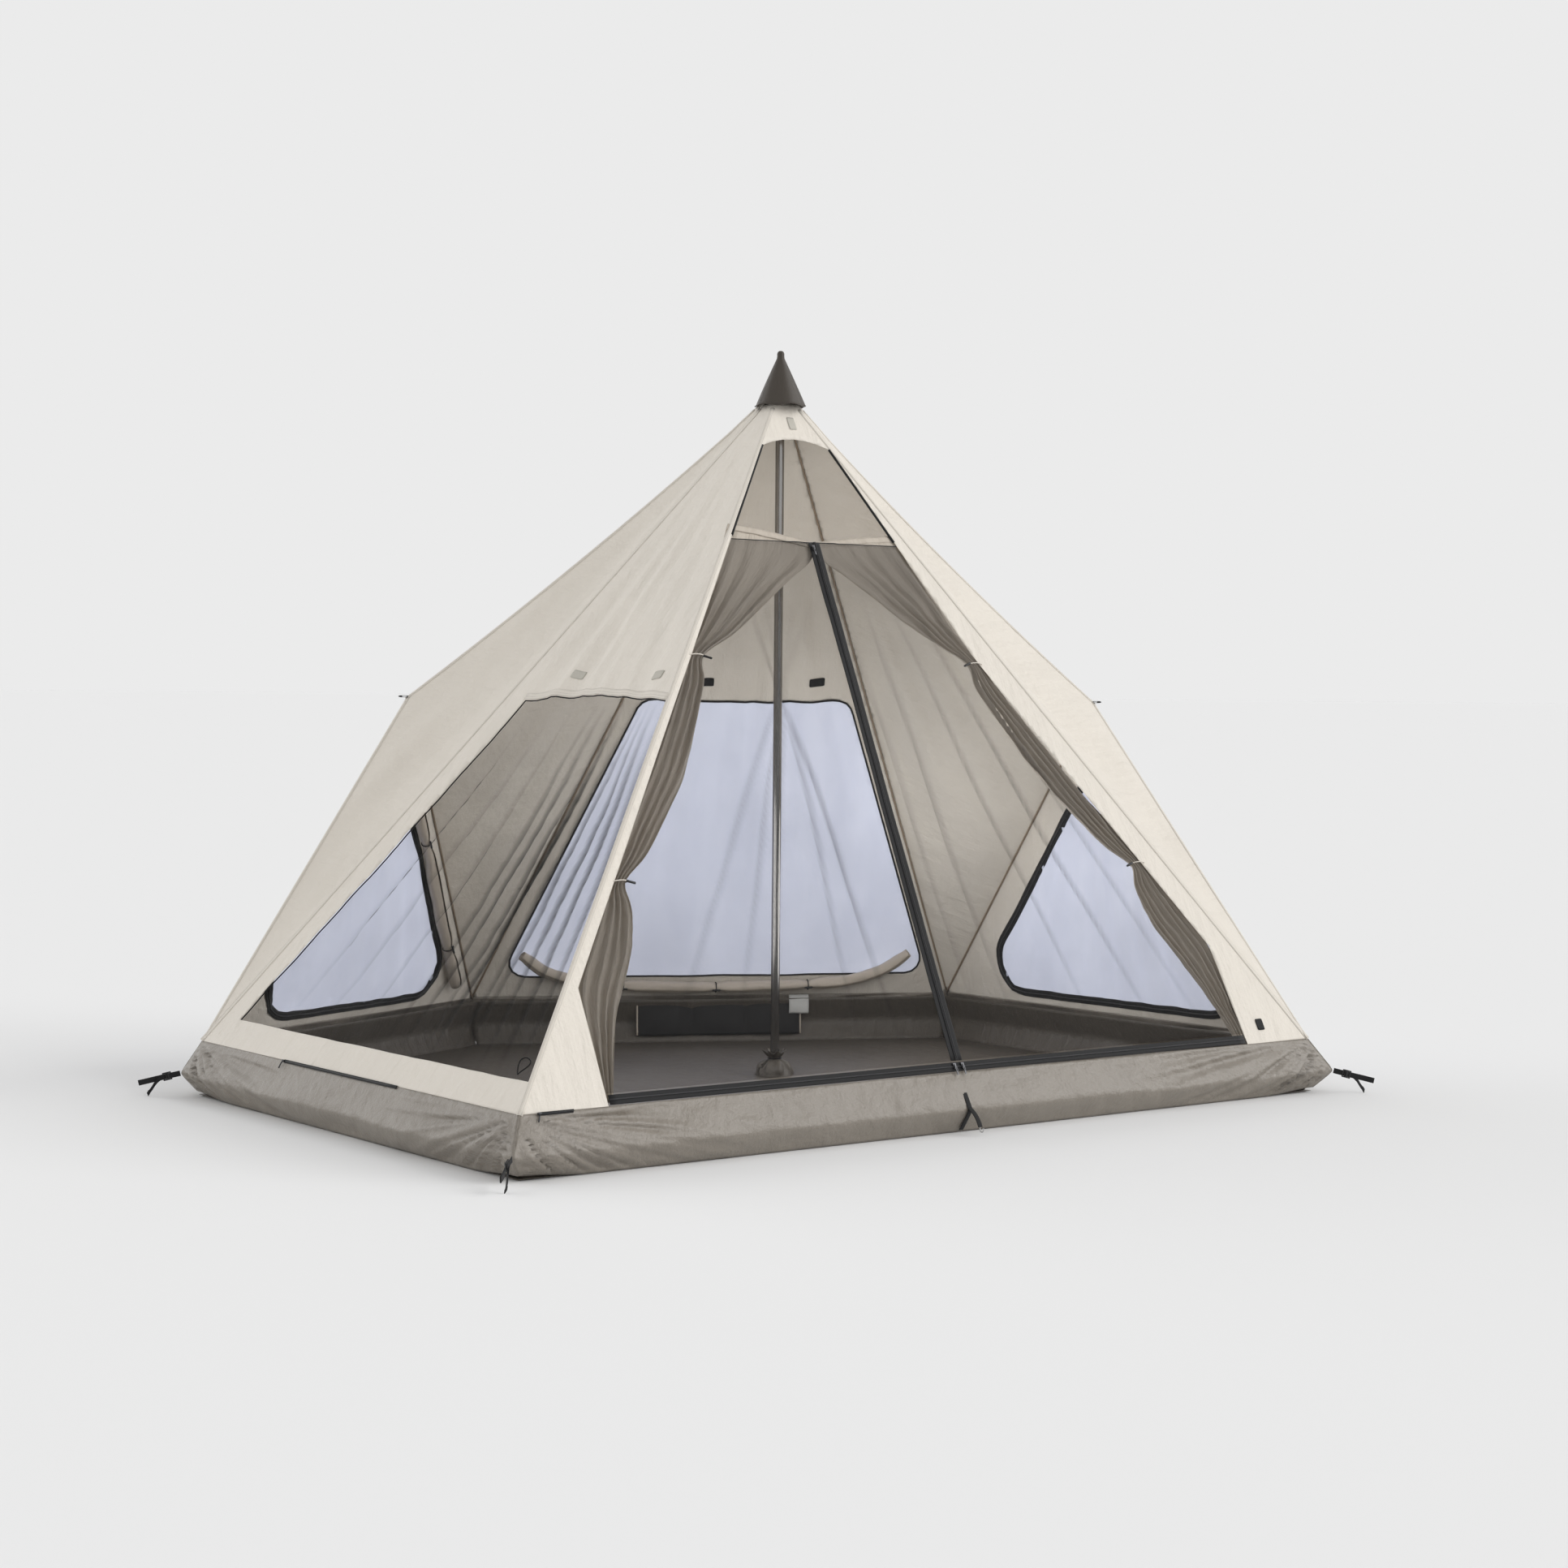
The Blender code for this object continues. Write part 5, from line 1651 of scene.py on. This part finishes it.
# %% Patches, labels and pocket
def patch(name, key, u, v, wide, tall, depth, finish, slot):
    form = bmesh.new()
    bmesh.ops.create_grid(form, x_segments=8, y_segments=5, size=0.5)
    bmesh.ops.scale(form, vec=(wide, tall, 1.0), verts=form.verts)
    mark_pattern(form)
    corner = 0.004
    for vert in form.verts:
        x, y = vert.co.x, vert.co.y
        if abs(x) > wide / 2 - 1e-5 and abs(y) > tall / 2 - 1e-5:
            x -= math.copysign(corner, x) * 0.3
            y -= math.copysign(corner, y) * 0.3
        vert.co = skin(key, u + x, v + y, depth)
    piece = thicken(to_object(name, form, finish), 0.0016, 0.0)
    dress(piece, "tent", slot)
    declare_sheet(piece, wide, tall, wide * tall, "stretched")
    return piece


for number, (u, v) in enumerate(((0.790, 1.746), (1.294, 1.735))):
    patch("patch_awning_%d" % number, "front_left", u, v, 0.062, 0.036, -0.0015, patch_pale,
          "cream_cloth")
for number, (u, v) in enumerate(((0.690, 1.440), (1.145, 1.440))):
    patch("patch_back_%d" % number, "back", u, v, 0.066, 0.034, 0.0035, patch_black,
          "zip_tape")
patch("patch_hood", "front", 1.866, 2.645, 0.032, 0.055, -0.0015, patch_pale, "cream_cloth")
patch("label_front", "front", 3.155, 0.072, 0.034, 0.044, -0.0022, webbing, "webbing")


def pocket():
    """Black netting in three bellies with pale trims, on the inner side of the skirt."""
    low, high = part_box("pocket")
    a, b = rings["top"][B2], rings["top"][B1]
    along = (b - a).normalized()
    inward = Vector((0.0, 0.0, 1.0)).cross(along)
    centre = (low + high) / 2.0
    wide, tall = 0.70, 0.145
    foot, lean = low.z + 0.004, 0.022

    def place(s, t):
        lobe = abs(math.sin(3.0 * math.pi * s)) ** 0.7
        belly = 0.020 * lobe * math.sin(math.pi * min(t * 0.85 + 0.12, 1.0))
        base = centre + along * ((s - 0.5) * wide)
        droop = -0.006 * lobe * t
        return Vector((base.x, base.y, foot + tall * t + droop)) + inward * (
            belly + 0.002 - lean * (t - 0.5) * 0.4)

    cut = (wide * 1.12, tall * 1.15)
    piece = grid_sheet("soft_pocket", 72, 18, place, cut, pocket_cloth)
    thicken(piece, 0.0009)
    dress(piece, "tent", "pocket_cloth", "pocket")
    declare_sheet(piece, *cut, wide * tall * 1.2, "hung")
    lip = [place(i / 60, 1.0) + inward * 0.002 for i in range(61)]
    tube("pocket_lip", lip, 0.0030, taupe, "taupe_cloth")
    for number in (0, 1):
        tube("pocket_trim_%d" % number, [place(number, i / 8) + inward * 0.002
                                         for i in range(9)], 0.0040, taupe, "taupe_cloth")


pocket()


def care_label():
    """A blank white label that hangs inside the skirt's seam."""
    wide, tall = 0.085, 0.080
    start = on_skirt(R + 1, 0.30, 0.0, -0.012)
    along = (rings["top"][B1] - rings["top"][B2]).normalized()
    inward = Vector((0.0, 0.0, 1.0)).cross(along)

    def place(s, t):
        curl = 0.012 * math.sin(t * 2.4) + 0.004 * math.sin(s * 5.0) * t
        return start + along * (s * wide) + inward * (0.010 + curl) - Vector(
            (0.0, 0.0, t * tall))

    piece = grid_sheet("care_label", 8, 10, place, (wide, tall), patch_white)
    thicken(piece, 0.0006)
    dress(piece, "tent", "cream_cloth")
    declare_sheet(piece, wide, tall, wide * tall, "hung")


patch_white = cloth_finish("label_white", linear(205, 205, 202), 0.6, 0.98, 0.0004)
care_label()


def elastic_loop(name, key, u, v, radius=0.030):
    centre = skin(key, u, v, 0.016)
    face = faces[key]
    ring = [centre + face.u * (math.cos(a) * radius * 0.8) + face.v * (math.sin(a) * radius)
            - face.normal * (0.006 * math.sin(2 * a)) for a in
            (math.tau * i / 28 for i in range(29))]
    tube(name, ring, 0.0022, webbing, "webbing")


elastic_loop("loop_awning", "front_left", 1.90, 0.17)


# %% Floor
FLOOR_GREY = 0.830                   # lit by the room and the suns, this equals the background


def add_floor():
    form = bmesh.new()
    bmesh.ops.create_circle(form, cap_ends=True, radius=600.0, segments=96)
    made = Finish("floor_paint")
    made.tree.nodes.remove(made.shader)
    matt = made.tree.nodes.new("ShaderNodeBsdfDiffuse")
    matt.inputs["Color"].default_value = (FLOOR_GREY, FLOOR_GREY, FLOOR_GREY, 1.0)
    made.tree.links.new(matt.outputs[0], made.tree.nodes["Material Output"].inputs[0])
    floor = to_object("studio_floor", form, made, smooth=False)
    floor.location.z = -0.002


add_floor()

# %% The end
bpy.context.view_layer.update()
